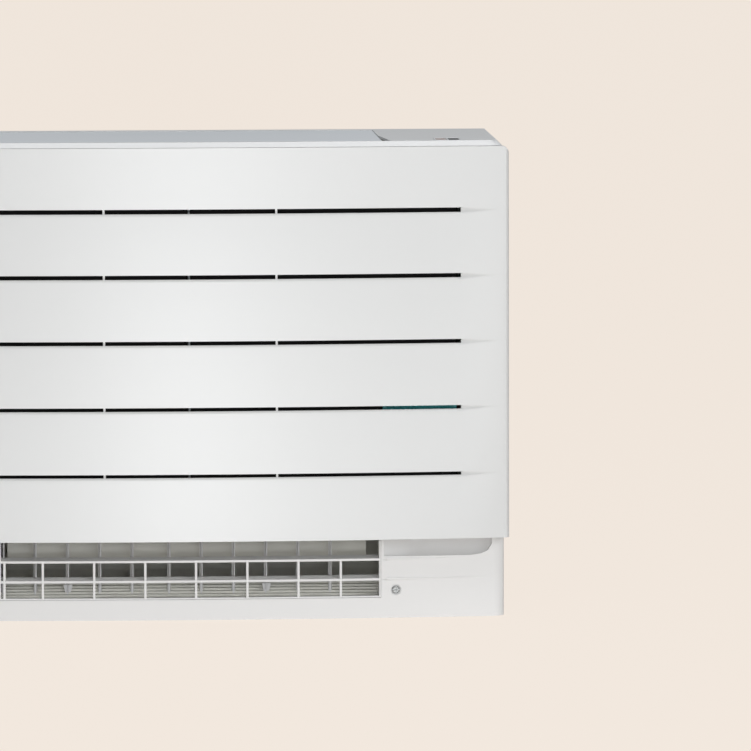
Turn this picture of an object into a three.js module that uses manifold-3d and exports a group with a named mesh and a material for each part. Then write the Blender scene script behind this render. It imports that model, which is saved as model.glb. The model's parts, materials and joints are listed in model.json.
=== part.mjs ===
// Floor standing air conditioner: the indoor unit of a split system, as a low console.
// Air is drawn in through the slits of the tilting front panel, through two filters and a flat
// heat exchanger into a turbo fan, and leaves by a flap in the top and a grille at the bottom.
// Millimetres. +X right seen from the front, +Y towards the wall, +Z up.
// The origin is the middle of the bottom.
import * as THREE from 'three';
import { mergeVertices } from 'three/addons/utils/BufferGeometryUtils.js';
import Module from 'manifold-3d';

const wasm = await Module();
wasm.setup();

// ---------------------------------------------------------------- driving dimensions
const WIDTH = 750;                // over the front panel
const DEPTH = 238;                // wall face to the foremost point of the panel
const HEIGHT = 562;               // floor to the top deck
const WALL = 3;                   // moulded housing wall
const GAP = 0.4;                  // clearance between pieces that touch
const RUN = 0.6;                  // clearance of a pivot in its hole
const PIN_SIDES = 6;              // facets of a small pin
const HOLE_SIDES = 6;             // and of its hole

const PANEL_BOTTOM = 95;          // lower edge of the panel
const PANEL_TOP = HEIGHT - 6.4;          // upper edge of the panel
const PANEL_WALL = 4.6;
const PANEL_BANDS = 6;
const PANEL_LEAN = 16;            // the panel's top lies this much further back
const BULGE_BOTTOM = 24;          // sagitta of the panel's curve in plan, at its lower edge
const BULGE_TOP = 14;             // and at its upper edge
const PANEL_CORNER = 7;           // radius of the panel's upright edges
const TOP_FLANGE = 3.5;           // strip behind the panel's upper edge
const FOOT_FLANGE = 6;            // and behind its lower edge
const PANEL_TOP_CORNER = 9;       // radius of the panel's upper corners, seen from the front
const PANEL_RETURN = 24;          // depth of the panel's side walls
const SLIT_HALF = WIDTH / 2 - 57;            // half length of a slit
const SLIT_FADE = WIDTH / 2 - 13;            // where the groove past a slit has run out
const SLIT_LIFT = [0, 0, 1.2, 1.9, 2.3, 2.3];
const SLIT_GAP_TOP = 5.6;         // gap of the uppermost slit
const SLIT_GAP_BOTTOM = 4.2;      // gap of the lowest slit
const SLIT_GROOVE = 3.4;          // depth of the lip over a slit
const SLIT_CHAMFER = 3;           // height of the sloped edge under a slit
const SHINGLE = 1.6;              // a band's top lies this much behind the foot of the one above
const WEB_X = 101;                // upright webs that carry the bands
const WEB = 2.4;

const CASE_HALF = WIDTH / 2 - 4;            // half width of the casing
const CASE_FRONT = DEPTH / 2 - 27;            // casing's foremost point, in front of the middle
const CASE_BULGE = 20;
const CASE_CORNER = 14;
const BROW = 6;                   // height of the sloped rim between the deck and the panel
const SHOULDER = 4;               // the casing draws in this much below the rim
// The display slot in the deck.
const DISPLAY_X = [CASE_HALF - 83, CASE_HALF - 51];
const DISPLAY_Y = [35 - DEPTH / 2, 75 - DEPTH / 2];

const OUTLET_HALF = WIDTH / 2 - 150.5;        // half length of both air outlets
const OUTLET_LOW = 24;            // lower edge of the lower outlet
const OUTLET_HIGH = 92;           // upper edge of the lower outlet
const GRILLE_BAR_Z = [45.5, 69];  // middle of the long grille bars' front edges
const GRILLE_BAR = 2.6;
const GRILLE_BAR_TILT = 2.4;      // a bar's rear edge lies this much higher
const GRILLE_BAR_DEPTH = 18;
const POST_SHARES = [-0.971, -0.771, -0.503, -0.236, 0.029, 0.298, 0.566, 0.788];
const GRILLE_POST_X = POST_SHARES.map((share) => share * OUTLET_HALF);
const GRILLE_POST = 2.6;
const SCOOP_LOW = 72.5;           // lower edge of the hollow under the panel
const SCOOP_STEP = OUTLET_HALF + 25.5;           // the hollow is shallow up to here, beside the louvres
const SCOOP_END = CASE_HALF - 15;
const SCOOP_DEEP = 22;

const FLAP_BACK = DEPTH / 2 - 15;            // back edge of the top outlet
const FLAP_FRONT = 31 - DEPTH / 2;           // front edge of the top outlet
const FLAP_WALL = 3;
const FLAP_NOTCH = 9;             // the deck opens this much wider at the flap's front ends
const FLAP_PIVOT_DROP = 9;        // pivot below the deck
const UPPER_BLADES = 6;

const FAN_Z = HEIGHT / 2 + 11;                // height of the fan's shaft
const FAN_R = HEIGHT / 2 - 129;
const FAN_WIDTH = 66;
const FAN_BLADES = 7;
const SHAFT_R = 5;                // motor shaft
const CHAMBER_HALF = OUTLET_HALF + 7.5;         // half width of the fan chamber
const BELL_R = 104;               // radius of the bell mouth's throat

const COIL_HALF = CASE_HALF - 59;            // half width of the heat exchanger's fins
const COIL_LOW = 124;
const COIL_HIGH = HEIGHT - 50;
const COIL_FRONT = 59 - DEPTH / 2;
const COIL_BACK = COIL_FRONT + 34;
const BELL_Y = COIL_BACK + 12;     // front face of the bell mouth plate
const FAN_FRONT = BELL_Y + 16;    // front edge of the fan's shroud
const COIL_FINS = 40;             // drawn coarser than the real pitch
const COIL_TUBE = 3.5;            // tube radius
const COIL_TUBE_ROWS = 8;
const PAN_DEPTH = 16;             // depth of the drain pan

const FILTER_BACK = COIL_FRONT - 6;          // back face of the air filters
const FILTER_WALL = 2;
const FILTER_LOW = 128;
const FILTER_HIGH = HEIGHT - 30;
const PURIFIER_WIDE = 87;
const PURIFIER_HIGH = 30;
const PURIFIER_Z = HEIGHT - 312;   // behind the fourth slit from the top

const MOTOR_R = 44;
const MOTOR_LONG = 34;

const LOUVRE_PITCH = 38;          // lower upright louvre blades
const LOUVRES_LEFT = 5;
const LOUVRES_RIGHT = 6;
const LOUVRE_HIGH = 56;
const LOUVRE_LONG = 44;
const LOUVRE_WALL = 1.6;
const LOUVRE_PIN = 2;             // radius of a blade's pivot pin

const BUTTON_TRAVEL = 1.2;
const SCREW_X = OUTLET_HALF + 17.5;              // housing screws
const SCREW_Z = 33;
const SCREW_HEAD = 4.6;
const DUCT_FRONT = 55 - DEPTH / 2;           // front of the lower duct, behind the casing

// ---------------------------------------------------------------- finishes
const finish = (color, roughness, metalness = 0) =>
  new THREE.MeshStandardMaterial({ color, roughness, metalness });
const white = () => finish(0xececea, 0.42);
const offWhite = () => finish(0xdcdcda, 0.5);
const greyPlastic = () => finish(0x9c9894, 0.6);
const darkPlastic = () => finish(0x2c2a28, 0.55);
const teal = () => finish(0x1a6b70, 0.6);
const foam = () => finish(0xe6e4df, 0.9);
const aluminium = () => finish(0xb9bcbf, 0.35, 0.9);
const copper = () => finish(0xb87350, 0.35, 0.9);
const brass = () => finish(0xc2a35a, 0.35, 0.9);
const zincSteel = () => finish(0xa9acae, 0.4, 0.9);
const boardGreen = () => finish(0x2f6b45, 0.6);

// ---------------------------------------------------------------- geometry helpers
// A THREE geometry becomes a solid that can be joined and cut. Faces are turned outwards.
function solid(geometry) {
  const bare = geometry.index ? geometry.toNonIndexed() : geometry.clone();
  bare.deleteAttribute('normal');
  bare.deleteAttribute('uv');
  const merged = mergeVertices(bare, 1e-4);
  const points = merged.attributes.position.array;
  const index = merged.index.array;
  const a = new THREE.Vector3();
  const b = new THREE.Vector3();
  const c = new THREE.Vector3();
  const faces = [];
  let volume = 0;
  for (let i = 0; i < index.length; i += 3) {
    const [p, q, r] = [index[i], index[i + 1], index[i + 2]];
    if (p === q || q === r || r === p) continue;
    faces.push([p, q, r]);
    a.fromArray(points, p * 3);
    b.fromArray(points, q * 3);
    c.fromArray(points, r * 3);
    volume += a.dot(b.cross(c));
  }
  const turned = volume < 0 ? faces.map(([p, q, r]) => [p, r, q]) : faces;
  const mesh = new wasm.Mesh({
    numProp: 3,
    vertProperties: Float32Array.from(points),
    triVerts: Uint32Array.from(turned.flat()),
  });
  return new wasm.Manifold(mesh);
}

const join = (first, ...rest) => rest.reduce((whole, part) => whole.add(part), first);
const cut = (first, ...rest) => rest.reduce((whole, part) => whole.subtract(part), first);

function block([x0, x1], [y0, y1], [z0, z1]) {
  const box = new THREE.BoxGeometry(x1 - x0, y1 - y0, z1 - z0);
  return solid(box.translate((x0 + x1) / 2, (y0 + y1) / 2, (z0 + z1) / 2));
}

// Round bar along an axis ('x', 'y' or 'z') from a to b; at gives the other two coordinates.
function rod(axis, radius, [a, b], at, sides = 20, endRadius = radius) {
  const bar = new THREE.CylinderGeometry(endRadius, radius, b - a, sides);
  const middle = (a + b) / 2;
  if (axis === 'x') return solid(bar.rotateZ(-Math.PI / 2).translate(middle, at[0], at[1]));
  if (axis === 'y') return solid(bar.translate(at[0], middle, at[1]));
  return solid(bar.rotateX(Math.PI / 2).translate(at[0], at[1], middle));
}

// Extrudes an outline along an axis: (y, z) along x, (x, z) along y, (x, y) along z.
function prism(axis, outline, [from, to], holes = []) {
  const shape = new THREE.Shape(outline.map(([u, v]) => new THREE.Vector2(u, v)));
  for (const hole of holes) {
    shape.holes.push(new THREE.Path(hole.map(([u, v]) => new THREE.Vector2(u, v))));
  }
  const depth = to - from;
  const body = new THREE.ExtrudeGeometry(shape, { depth, bevelEnabled: false, curveSegments: 8 });
  const x = new THREE.Vector3(1, 0, 0);
  const y = new THREE.Vector3(0, 1, 0);
  const z = new THREE.Vector3(0, 0, 1);
  const turn = new THREE.Matrix4();
  if (axis === 'x') turn.makeBasis(y, z, x).setPosition(from, 0, 0);
  if (axis === 'y') turn.makeBasis(x, z, y.clone().negate()).setPosition(0, to, 0);
  if (axis === 'z') turn.makeBasis(x, y, z).setPosition(0, 0, from);
  return solid(body.applyMatrix4(turn));
}

// Joins rings of as many points each, in order, and closes the two ends.
function loft(rings) {
  const count = rings[0].length;
  const index = [];
  for (let r = 0; r < rings.length - 1; r += 1) {
    for (let i = 0; i < count; i += 1) {
      const next = (i + 1) % count;
      const low = r * count;
      const high = low + count;
      index.push(low + i, low + next, high + next, low + i, high + next, high + i);
    }
  }
  index.push(...capFaces(rings[0], 0, false));
  index.push(...capFaces(rings[rings.length - 1], (rings.length - 1) * count, true));
  const shell = new THREE.BufferGeometry();
  shell.setAttribute('position', new THREE.Float32BufferAttribute(rings.flat(2), 3));
  shell.setIndex(index);
  return solid(shell);
}

// Divides a ring into faces, in the plane where it is widest, that run with it or against it.
function capFaces(ring, first, withRing) {
  const spans = [0, 1, 2].map((axis) => {
    const values = ring.map((point) => point[axis]);
    return Math.max(...values) - Math.min(...values);
  });
  const [p, q] = [0, 1, 2].filter((axis) => axis !== spans.indexOf(Math.min(...spans)));
  const flat = ring.map((point) => new THREE.Vector2(point[p], point[q]));
  const ringTurn = Math.sign(THREE.ShapeUtils.area(flat));
  const faces = THREE.ShapeUtils.triangulateShape(flat, []);
  const faceTurn = (face) => Math.sign(THREE.ShapeUtils.area(face.map((i) => flat[i])));
  return faces.flatMap((face) => {
    const same = faceTurn(face) === ringTurn;
    const [a, b, c] = face.map((i) => i + first);
    return same === withRing ? [a, b, c] : [a, c, b];
  });
}

const range = (count) => Array.from({ length: count }, (_, i) => i);
const lerp = (a, b, t) => a + (b - a) * t;
const radians = THREE.MathUtils.degToRad;
// A faceted hole in which a faceted pin can turn.
const pinHole = (radius) => radius / Math.cos(Math.PI / HOLE_SIDES) + 0.1;

const group = new THREE.Group();

// A named piece: a joined solid, or a plain geometry, with its own finish.
function piece(name, shape, material, holder = group) {
  const closed = shape.isBufferGeometry ? solid(shape) : shape;
  const out = closed.getMesh();
  const geometry = new THREE.BufferGeometry();
  const points = new Float32Array(out.numVert * 3);
  for (let i = 0; i < out.numVert; i += 1) {
    for (let k = 0; k < 3; k += 1) points[i * 3 + k] = out.vertProperties[i * out.numProp + k];
  }
  geometry.setAttribute('position', new THREE.BufferAttribute(points, 3));
  geometry.setIndex(new THREE.BufferAttribute(Uint32Array.from(out.triVerts), 1));
  geometry.computeVertexNormals();
  const mesh = new THREE.Mesh(geometry, material);
  mesh.name = name;
  holder.add(mesh);
  return mesh;
}

// ---------------------------------------------------------------- front panel
const panelRise = PANEL_TOP - PANEL_BOTTOM;
const panelHalf = WIDTH / 2;
const bandRise = panelRise / PANEL_BANDS;
const PANEL_PIVOT = [29 - DEPTH / 2, PANEL_BOTTOM + 9];      // y, z of the panel's hinge line
const PANEL_LUG_X = CASE_HALF - 71;
const PANEL_PIN = 2.5;

function panelFace(x, z) {
  const t = (z - PANEL_BOTTOM) / panelRise;
  const bulge = lerp(BULGE_BOTTOM, BULGE_TOP, t);
  return -DEPTH / 2 + PANEL_LEAN * t + bulge * (x / panelHalf) ** 2;
}

// How far the outer skin turns back at the panel's upright edge.
function panelEdge(x) {
  const past = Math.abs(x) - (panelHalf - PANEL_CORNER);
  if (past <= 0) return 0;
  return PANEL_CORNER - Math.sqrt(Math.max(0, PANEL_CORNER ** 2 - past ** 2));
}

// The panel's upper corners are rounded, as seen from the front.
function panelTop(x) {
  const past = Math.max(0, Math.abs(x) - (panelHalf - PANEL_TOP_CORNER));
  return PANEL_TOP - PANEL_TOP_CORNER + Math.sqrt(PANEL_TOP_CORNER ** 2 - past ** 2);
}

// The bands grow a little from the top down, so the slits lie above an even spacing.
const slitZ = (k) => PANEL_BOTTOM + bandRise * k + SLIT_LIFT[k];
const slitGap = (k) => lerp(SLIT_GAP_BOTTOM, SLIT_GAP_TOP, (k - 1) / (PANEL_BANDS - 2));

// 1 along a slit, falling to nothing where its groove has run out.
function slitFade(x) {
  const t = (SLIT_FADE - Math.abs(x)) / (SLIT_FADE - SLIT_HALF);
  return THREE.MathUtils.clamp(t, 0.03, 1);
}

// Upright section through the panel. At a side wall it runs back to the casing's sides.
function panelSection([x, atSide]) {
  const fade = slitFade(x);
  const edge = panelEdge(x);
  const ring = [[x, panelFace(x, PANEL_BOTTOM) + edge, PANEL_BOTTOM]];
  for (let k = 1; k < PANEL_BANDS; k += 1) {
    const half = (slitGap(k) / 2) * fade;
    const face = panelFace(x, slitZ(k)) + edge;
    ring.push([x, face + SHINGLE * fade, slitZ(k) - half - SLIT_CHAMFER * fade]);
    ring.push([x, face + SLIT_GROOVE * fade, slitZ(k) - half]);
    ring.push([x, face + SLIT_GROOVE * fade, slitZ(k) + half]);
    ring.push([x, face, slitZ(k) + half]);
  }
  const top = panelTop(x);
  const high = panelFace(x, PANEL_TOP) + edge;
  const low = panelFace(x, PANEL_BOTTOM) + edge;
  const rear = (front, flange) => (atSide ? front - edge + PANEL_RETURN : front + PANEL_WALL + flange);
  ring.push(
    [x, high, top],
    [x, rear(high, TOP_FLANGE), top],
    [x, rear(high, TOP_FLANGE), top - WALL],
    [x, rear(high, 0), top - WALL],
    [x, rear(low, 0), PANEL_BOTTOM + WALL],
    [x, rear(low, FOOT_FLANGE), PANEL_BOTTOM + WALL],
    [x, rear(low, FOOT_FLANGE), PANEL_BOTTOM],
  );
  return ring;
}

// Places of the sections, each with whether it lies in a side wall.
function panelStations() {
  const flat = range(7).map((i) => [lerp(0, SLIT_HALF, i / 6), false]);
  const fading = range(2).map((i) => [lerp(SLIT_HALF, SLIT_FADE, (i + 1) / 2), false]);
  const inner = CASE_HALF + 2 * GAP;
  const corner = [0, 30].map((turn) => [panelHalf - PANEL_CORNER * (1 - Math.sin(radians(turn))), false]);
  const wall = [[inner, false], [inner, true], [panelHalf - 0.9, true], [panelHalf, true]];
  const right = [...flat, ...fading, ...corner, ...wall];
  return [...right.slice(1).reverse().map(([x, atSide]) => [-x, atSide]), ...right];
}

// One stretch of a slit, cut through what its groove leaves of the wall.
function slitCutter(k, x0, x1) {
  const half = slitGap(k) / 2;
  const back = panelFace(SLIT_HALF, slitZ(k)) + PANEL_WALL + 1;
  return block([x0, x1], [-DEPTH / 2 - 1, back], [slitZ(k) - half, slitZ(k) + half]);
}

function buildPanel() {
  let body = loft(panelStations().map(panelSection));
  const ends = [-SLIT_HALF, -WEB_X, WEB_X, SLIT_HALF];
  for (let k = 1; k < PANEL_BANDS; k += 1) {
    for (let i = 0; i < ends.length - 1; i += 1) {
      const x0 = ends[i] + (i > 0 ? WEB / 2 : 0);
      const x1 = ends[i + 1] - (i < ends.length - 2 ? WEB / 2 : 0);
      body = cut(body, slitCutter(k, x0, x1));
    }
  }
  const ribs = [-1, 1].map((side) => {
    return loft([PANEL_BOTTOM + 1, PANEL_TOP - 1].map((z) => {
      const rear = panelFace(WEB_X, z) + PANEL_WALL;
      const [a, b] = [side * WEB_X - WEB / 2, side * WEB_X + WEB / 2];
      return [[a, rear - 1.2, z], [b, rear - 1.2, z], [b, rear + 3, z], [a, rear + 3, z]];
    }));
  });
  body = join(body, ...ribs);
  for (const side of [-1, 1]) {
    const x = [side * PANEL_LUG_X - 4, side * PANEL_LUG_X + 4];
    const [y, z] = PANEL_PIVOT;
    const lug = join(
      block(x, [panelFace(PANEL_LUG_X, z) + PANEL_WALL - 1, y], [z - 6, z + 6]),
      rod('x', 6, x, [y, z], 20),
    );
    body = cut(join(body, lug), rod('x', PANEL_PIN + RUN, [x[0] - 1, x[1] + 1], [y, z], 16));
  }
  return body;
}

// ---------------------------------------------------------------- front casing
const back = DEPTH / 2;
const deckUnder = HEIGHT - WALL;

// Plan of the casing: a bowed front with rounded corners, and straight sides to the wall.
function planRing(z, half, front, bulge, corner, backY = back) {
  const face = (x) => {
    const past = Math.abs(x) - (half - corner);
    const edge = past > 0 ? corner - Math.sqrt(Math.max(0, corner ** 2 - past ** 2)) : 0;
    return -front + bulge * (x / panelHalf) ** 2 + edge;
  };
  const flat = range(6).map((i) => (half - corner) * (i / 5));
  const turn = range(3).map((i) => half - corner * (1 - Math.sin(((i + 1) * Math.PI) / 6)));
  const right = [...flat, ...turn];
  const xs = [...right.slice(1).reverse().map((x) => -x), ...right];
  return [[-half, backY, z], ...xs.map((x) => [x, face(x), z]), [half, backY, z]];
}

const caseRing = (z, half, inset = 0) =>
  planRing(z, half - inset, CASE_FRONT - inset, CASE_BULGE, CASE_CORNER - inset, back + inset * 2);

// The front face of the casing at x, below the panel.
const caseFace = (x) => -CASE_FRONT + CASE_BULGE * (x / panelHalf) ** 2;

const browHalf = CASE_HALF - SHOULDER;
const browRing = (z, inset) =>
  planRing(z, browHalf - inset, DEPTH / 2 - PANEL_LEAN - inset, BULGE_TOP, CASE_CORNER);

// The hollow that runs away to each side of the outlet, under the panel's lower edge.
function scoop(side) {
  const stations = [
    [OUTLET_HALF + 3, 0.45], [SCOOP_STEP, 0.55], [SCOOP_STEP + 12, 1], [330, 1], [342, 0.86], [351, 0.55],
    [SCOOP_END, 0.12],
  ];
  const high = PANEL_BOTTOM + 6;
  return loft(stations.map(([x, share]) => {
    const face = caseFace(x);
    const deep = SCOOP_DEEP * share;
    const low = x < SCOOP_STEP + 12 ? SCOOP_LOW : lerp(high - 8, SCOOP_LOW, Math.sqrt(share));
    const curve = range(5).map((i) => {
      const turn = (i * Math.PI) / 8;
      return [side * x, face + deep * Math.sin(turn), high - (high - low) * Math.cos(turn)];
    });
    return [[side * x, face - 6, high], [side * x, face - 6, low], ...curve];
  }));
}

// A fading groove that carries a grille bar's line on over the casing.
function fadingGroove(side, z, end) {
  const stations = [[OUTLET_HALF + 2, 1], [lerp(OUTLET_HALF, end, 0.5), 0.55], [end, 0.04]];
  return loft(stations.map(([x, share]) => {
    const face = caseFace(x);
    const rise = (x - OUTLET_HALF) * 0.02;
    return [
      [side * x, face - 2, z + rise],
      [side * x, face + 2.2 * share, z + rise],
      [side * x, face - 2, z + rise - 9 * share],
    ];
  }));
}

const screwRecess = (side) =>
  rod('y', SCREW_HEAD + 1.6, [caseFace(SCREW_X) - 4, caseFace(SCREW_X) + 2.4],
    [side * SCREW_X, SCREW_Z], 24);

function buildCasing() {
  const shellRings = [[0, 0], [HEIGHT - BROW - SHOULDER, 0], [HEIGHT - BROW, SHOULDER], [HEIGHT, 10]];
  const outer = loft(shellRings.map(([z, draw]) => caseRing(z, CASE_HALF - draw)));
  const brow = loft([browRing(HEIGHT - BROW, 0), browRing(HEIGHT, BROW)]);
  const innerRings = [[WALL, 0], [HEIGHT - BROW - SHOULDER, 0], [HEIGHT - BROW, SHOULDER], [deckUnder, 7]];
  const inner = loft(innerRings.map(([z, draw]) => caseRing(z, CASE_HALF - draw, WALL)));
  let body = cut(join(outer, brow), inner);
  for (const side of [-1, 1]) {
    const thick = [[OUTLET_HALF + 2, SCOOP_STEP, DUCT_FRONT - 3], [SCOOP_STEP, SCOOP_END + 4, -49]];
    for (const [x0, x1, rear] of thick) {
      const x = [side * x0, side * x1].sort((a, b) => a - b);
      const backing = block(x, [-CASE_FRONT - 2, rear], [SCOOP_LOW - 4, PANEL_BOTTOM + 8.5]);
      body = join(body, outer.intersect(backing));
    }
    const screwBoss = rod('y', 9, [caseFace(SCREW_X), DUCT_FRONT - 3], [side * SCREW_X, SCREW_Z]);
    body = join(body, outer.intersect(screwBoss));
    body = cut(body, scoop(side), fadingGroove(side, GRILLE_BAR_Z[1], SLIT_HALF - 6), screwRecess(side));
    body = cut(body, fadingGroove(side, GRILLE_BAR_Z[0], SCOOP_END));
    body = cut(body, rod('y', 2.2, [-CASE_FRONT, caseFace(SCREW_X) + 30], [side * SCREW_X, SCREW_Z], 16));
  }
  const intake = block([-SLIT_HALF - 8, SLIT_HALF + 8], [-DEPTH, -50], [FILTER_LOW - 3, FILTER_HIGH + 6]);
  const ledge = outer.intersect(block([-SLIT_HALF, SLIT_HALF], [-DEPTH, COIL_FRONT - 3.5],
    [FILTER_LOW - 4, FILTER_LOW - GAP]));
  const outlet = block([-OUTLET_HALF, OUTLET_HALF], [-DEPTH, -45], [OUTLET_LOW, OUTLET_HIGH]);
  const n = OUTLET_HALF + 2.5;
  const deckHole = prism('z', [
    [-n, FLAP_BACK], [-n, 10], [-n - FLAP_NOTCH, FLAP_FRONT],
    [n + FLAP_NOTCH, FLAP_FRONT], [n, 10], [n, FLAP_BACK],
  ], [HEIGHT - BROW - 4, HEIGHT + 1]);
  const slot = block(DISPLAY_X, DISPLAY_Y, [deckUnder - 1, HEIGHT + 1]);
  const pocketHigh = [FILTER_HIGH + 5, deckUnder];
  const pocket = block([DISPLAY_X[0] - 7, DISPLAY_X[1] + 7], [DISPLAY_Y[0], -60], pocketHigh);
  body = cut(body, intake, outlet, deckHole, slot, pocket);
  return join(body, ledge, ...[-1, 1].map(panelEar));
}

// Ear with a stub pin on which a lug of the panel turns.
function panelEar(side) {
  const [y, z] = PANEL_PIVOT;
  const near = PANEL_LUG_X + 4 + GAP;
  const x = [side * near, side * (near + 4)].sort((a, b) => a - b);
  const pin = [side * (near + 2), side * (PANEL_LUG_X - 4)].sort((a, b) => a - b);
  return join(
    block(x, [y, caseFace(near) + 1.5], [z - 4.5, z + 5]),
    rod('x', 5, x, [y, z], 16),
    rod('x', PANEL_PIN, pin, [y, z], 16),
  );
}

// ---------------------------------------------------------------- outlet grille
function buildGrille() {
  const reach = OUTLET_HALF - GAP;
  const low = OUTLET_LOW + GAP;
  const high = OUTLET_HIGH - GAP;
  const xs = range(9).map((i) => lerp(-reach, reach, i / 8));
  const bars = GRILLE_BAR_Z.map((z) => loft(xs.map((x) => {
    const front = caseFace(x);
    return [
      [x, front, z - GRILLE_BAR / 2],
      [x, front + GRILLE_BAR_DEPTH, z + GRILLE_BAR_TILT],
      [x, front + GRILLE_BAR_DEPTH, z + GRILLE_BAR_TILT + 1.4],
      [x, front, z + GRILLE_BAR / 2],
    ];
  })));
  const posts = GRILLE_POST_X.map((x) => {
    const front = caseFace(x) + 0.8;
    const half = GRILLE_POST / 2;
    return block([x - half, x + half], [front, front + 8], [low, GRILLE_BAR_Z[1]]);
  });
  const ends = [-1, 1].map((side) => {
    const x = [side * reach, side * (reach - 1.8)].sort((a, b) => a - b);
    return block(x, [caseFace(reach), caseFace(reach) + GRILLE_BAR_DEPTH], [low, high]);
  });
  const sill = loft(xs.map((x) => {
    const front = caseFace(x) + 1;
    return [[x, front, low], [x, front + 10, low], [x, front + 10, low + 1.6], [x, front, low + 1.6]];
  }));
  return join(bars[0], bars[1], ...posts, ...ends, sill);
}

// ---------------------------------------------------------------- lower outlet duct
const DUCT_HALF = OUTLET_HALF + 15.5;            // the duct is wider inside than its opening
const DUCT_STEPS = 6;
const STEP_DEPTH = 12;
const STEP_RISE = 2.2;
const DUCT_CEILING = 97;
const LOUVRE_Y = DUCT_FRONT + 26;             // pivots of the upright blades
const LOUVRE_LOW = 40;
const LOUVRE_TOP = LOUVRE_LOW + LOUVRE_HIGH - GAP - 1.6;
const RAIL = 5;                   // height of the rail that holds the blades' upper pins
const LINK_Y = LOUVRE_Y + 14;     // pins that a gang's link bar joins
const LINK_HIGH = 2.6;
const LINK_PIN = 1.6;
const SHUTTER_PIVOT = [8, 90];    // y, z

const leftBlades = range(LOUVRES_LEFT).map((i) => -218.5 + LOUVRE_PITCH * i);
const rightBlades = range(LOUVRES_RIGHT).map((i) => -23 + LOUVRE_PITCH * i);

function buildLowerDuct() {
  const floor = [[DUCT_FRONT, OUTLET_LOW - 3]];
  for (const i of range(DUCT_STEPS)) {
    const y = DUCT_FRONT + STEP_DEPTH * i;
    const z = OUTLET_LOW + STEP_RISE * i;
    floor.push([y, z], [y + STEP_DEPTH, z - 0.4]);
  }
  const end = floor[floor.length - 1];
  const bend = range(7).map((i) => {
    const turn = (i * Math.PI) / 12;
    return [end[0] + 94 * Math.sin(turn), end[1] + 70 * (1 - Math.cos(turn)) + 1];
  });
  const under = bend.map(([y, z]) => [y + 2, z - 3]).reverse();
  const profile = [...floor, ...bend, ...under, [DUCT_FRONT + STEP_DEPTH * 3, OUTLET_LOW - 3]];
  const trough = prism('x', profile, [-DUCT_HALF, DUCT_HALF]);
  const walls = [-1, 1].map((side) => {
    const x = [side * DUCT_HALF, side * (DUCT_HALF + 2)].sort((a, b) => a - b);
    const outline = [
      [DUCT_FRONT, OUTLET_LOW - 3], [-50, OUTLET_LOW - 3], [-50, WALL + GAP], [-20, WALL + GAP],
      [-20, OUTLET_LOW - 3], [20, OUTLET_LOW - 3], [104, 80], [104, DUCT_CEILING + 8],
      [DUCT_FRONT, DUCT_CEILING + 4],
    ];
    return prism('x', outline, x);
  });
  const rail = block([-DUCT_HALF - 1, DUCT_HALF + 1], [LOUVRE_Y - 8, LOUVRE_Y + 8],
    [DUCT_CEILING, DUCT_CEILING + RAIL - 1]);
  const holes = [...leftBlades, ...rightBlades].flatMap((x) => [
    rod('z', pinHole(LOUVRE_PIN), [OUTLET_LOW - 1, LOUVRE_LOW], [x, LOUVRE_Y], HOLE_SIDES),
    rod('z', pinHole(LOUVRE_PIN), [DUCT_CEILING - 1, DUCT_CEILING + RAIL], [x, LOUVRE_Y], HOLE_SIDES),
  ]);
  const [py, pz] = SHUTTER_PIVOT;
  const stubs = [-1, 1].map((side) => {
    const x = [side * (DUCT_HALF - 8), side * (DUCT_HALF + 1)].sort((a, b) => a - b);
    return rod('x', 2.5, x, [py, pz], 12);
  });
  return join(cut(join(trough, ...walls, rail), ...holes), ...stubs);
}

// An upright blade with its pivot pins, its link pin and, on one blade of a gang, a finger knob.
function louvre(x, withKnob) {
  const half = LOUVRE_WALL / 2;
  const front = LOUVRE_Y - LOUVRE_LONG / 2;
  const rear = LOUVRE_Y + LOUVRE_LONG / 2;
  const blade = prism('x', [
    [front, LOUVRE_LOW + 4], [front + 6, LOUVRE_LOW], [rear, LOUVRE_LOW], [rear, LOUVRE_TOP - 8],
    [rear - 8, LOUVRE_TOP], [front, LOUVRE_TOP],
  ], [x - half, x + half]);
  const parts = [
    rod('z', LOUVRE_PIN, [OUTLET_LOW + 1, LOUVRE_TOP - 1], [x, LOUVRE_Y], PIN_SIDES),
    rod('z', LOUVRE_PIN, [LOUVRE_TOP - 2, DUCT_CEILING + RAIL - 2], [x, LOUVRE_Y], PIN_SIDES),
    rod('z', LINK_PIN, [LOUVRE_LOW - LINK_HIGH - 0.8, LOUVRE_LOW + 1], [x, LINK_Y], PIN_SIDES),
  ];
  if (withKnob) {
    const y = front + 3;
    parts.push(prism('y', [[x - 2, LOUVRE_LOW + 8], [x - 6, LOUVRE_LOW - 3], [x + 6, LOUVRE_LOW - 3],
      [x + 2, LOUVRE_LOW + 8]], [y - 3, y + 3]));
  }
  return join(blade, ...parts);
}

// Bar that joins the link pins of one gang of blades.
function linkBar(xs, y, z) {
  const ends = [xs[0] - 4, xs[xs.length - 1] + 4];
  const bar = block(ends, [y - 3.5, y + 3.5], [z, z + LINK_HIGH]);
  const across = [z - 1, z + LINK_HIGH + 1];
  return cut(bar, ...xs.map((x) => rod('z', pinHole(LINK_PIN), across, [x, y], HOLE_SIDES)));
}

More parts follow.
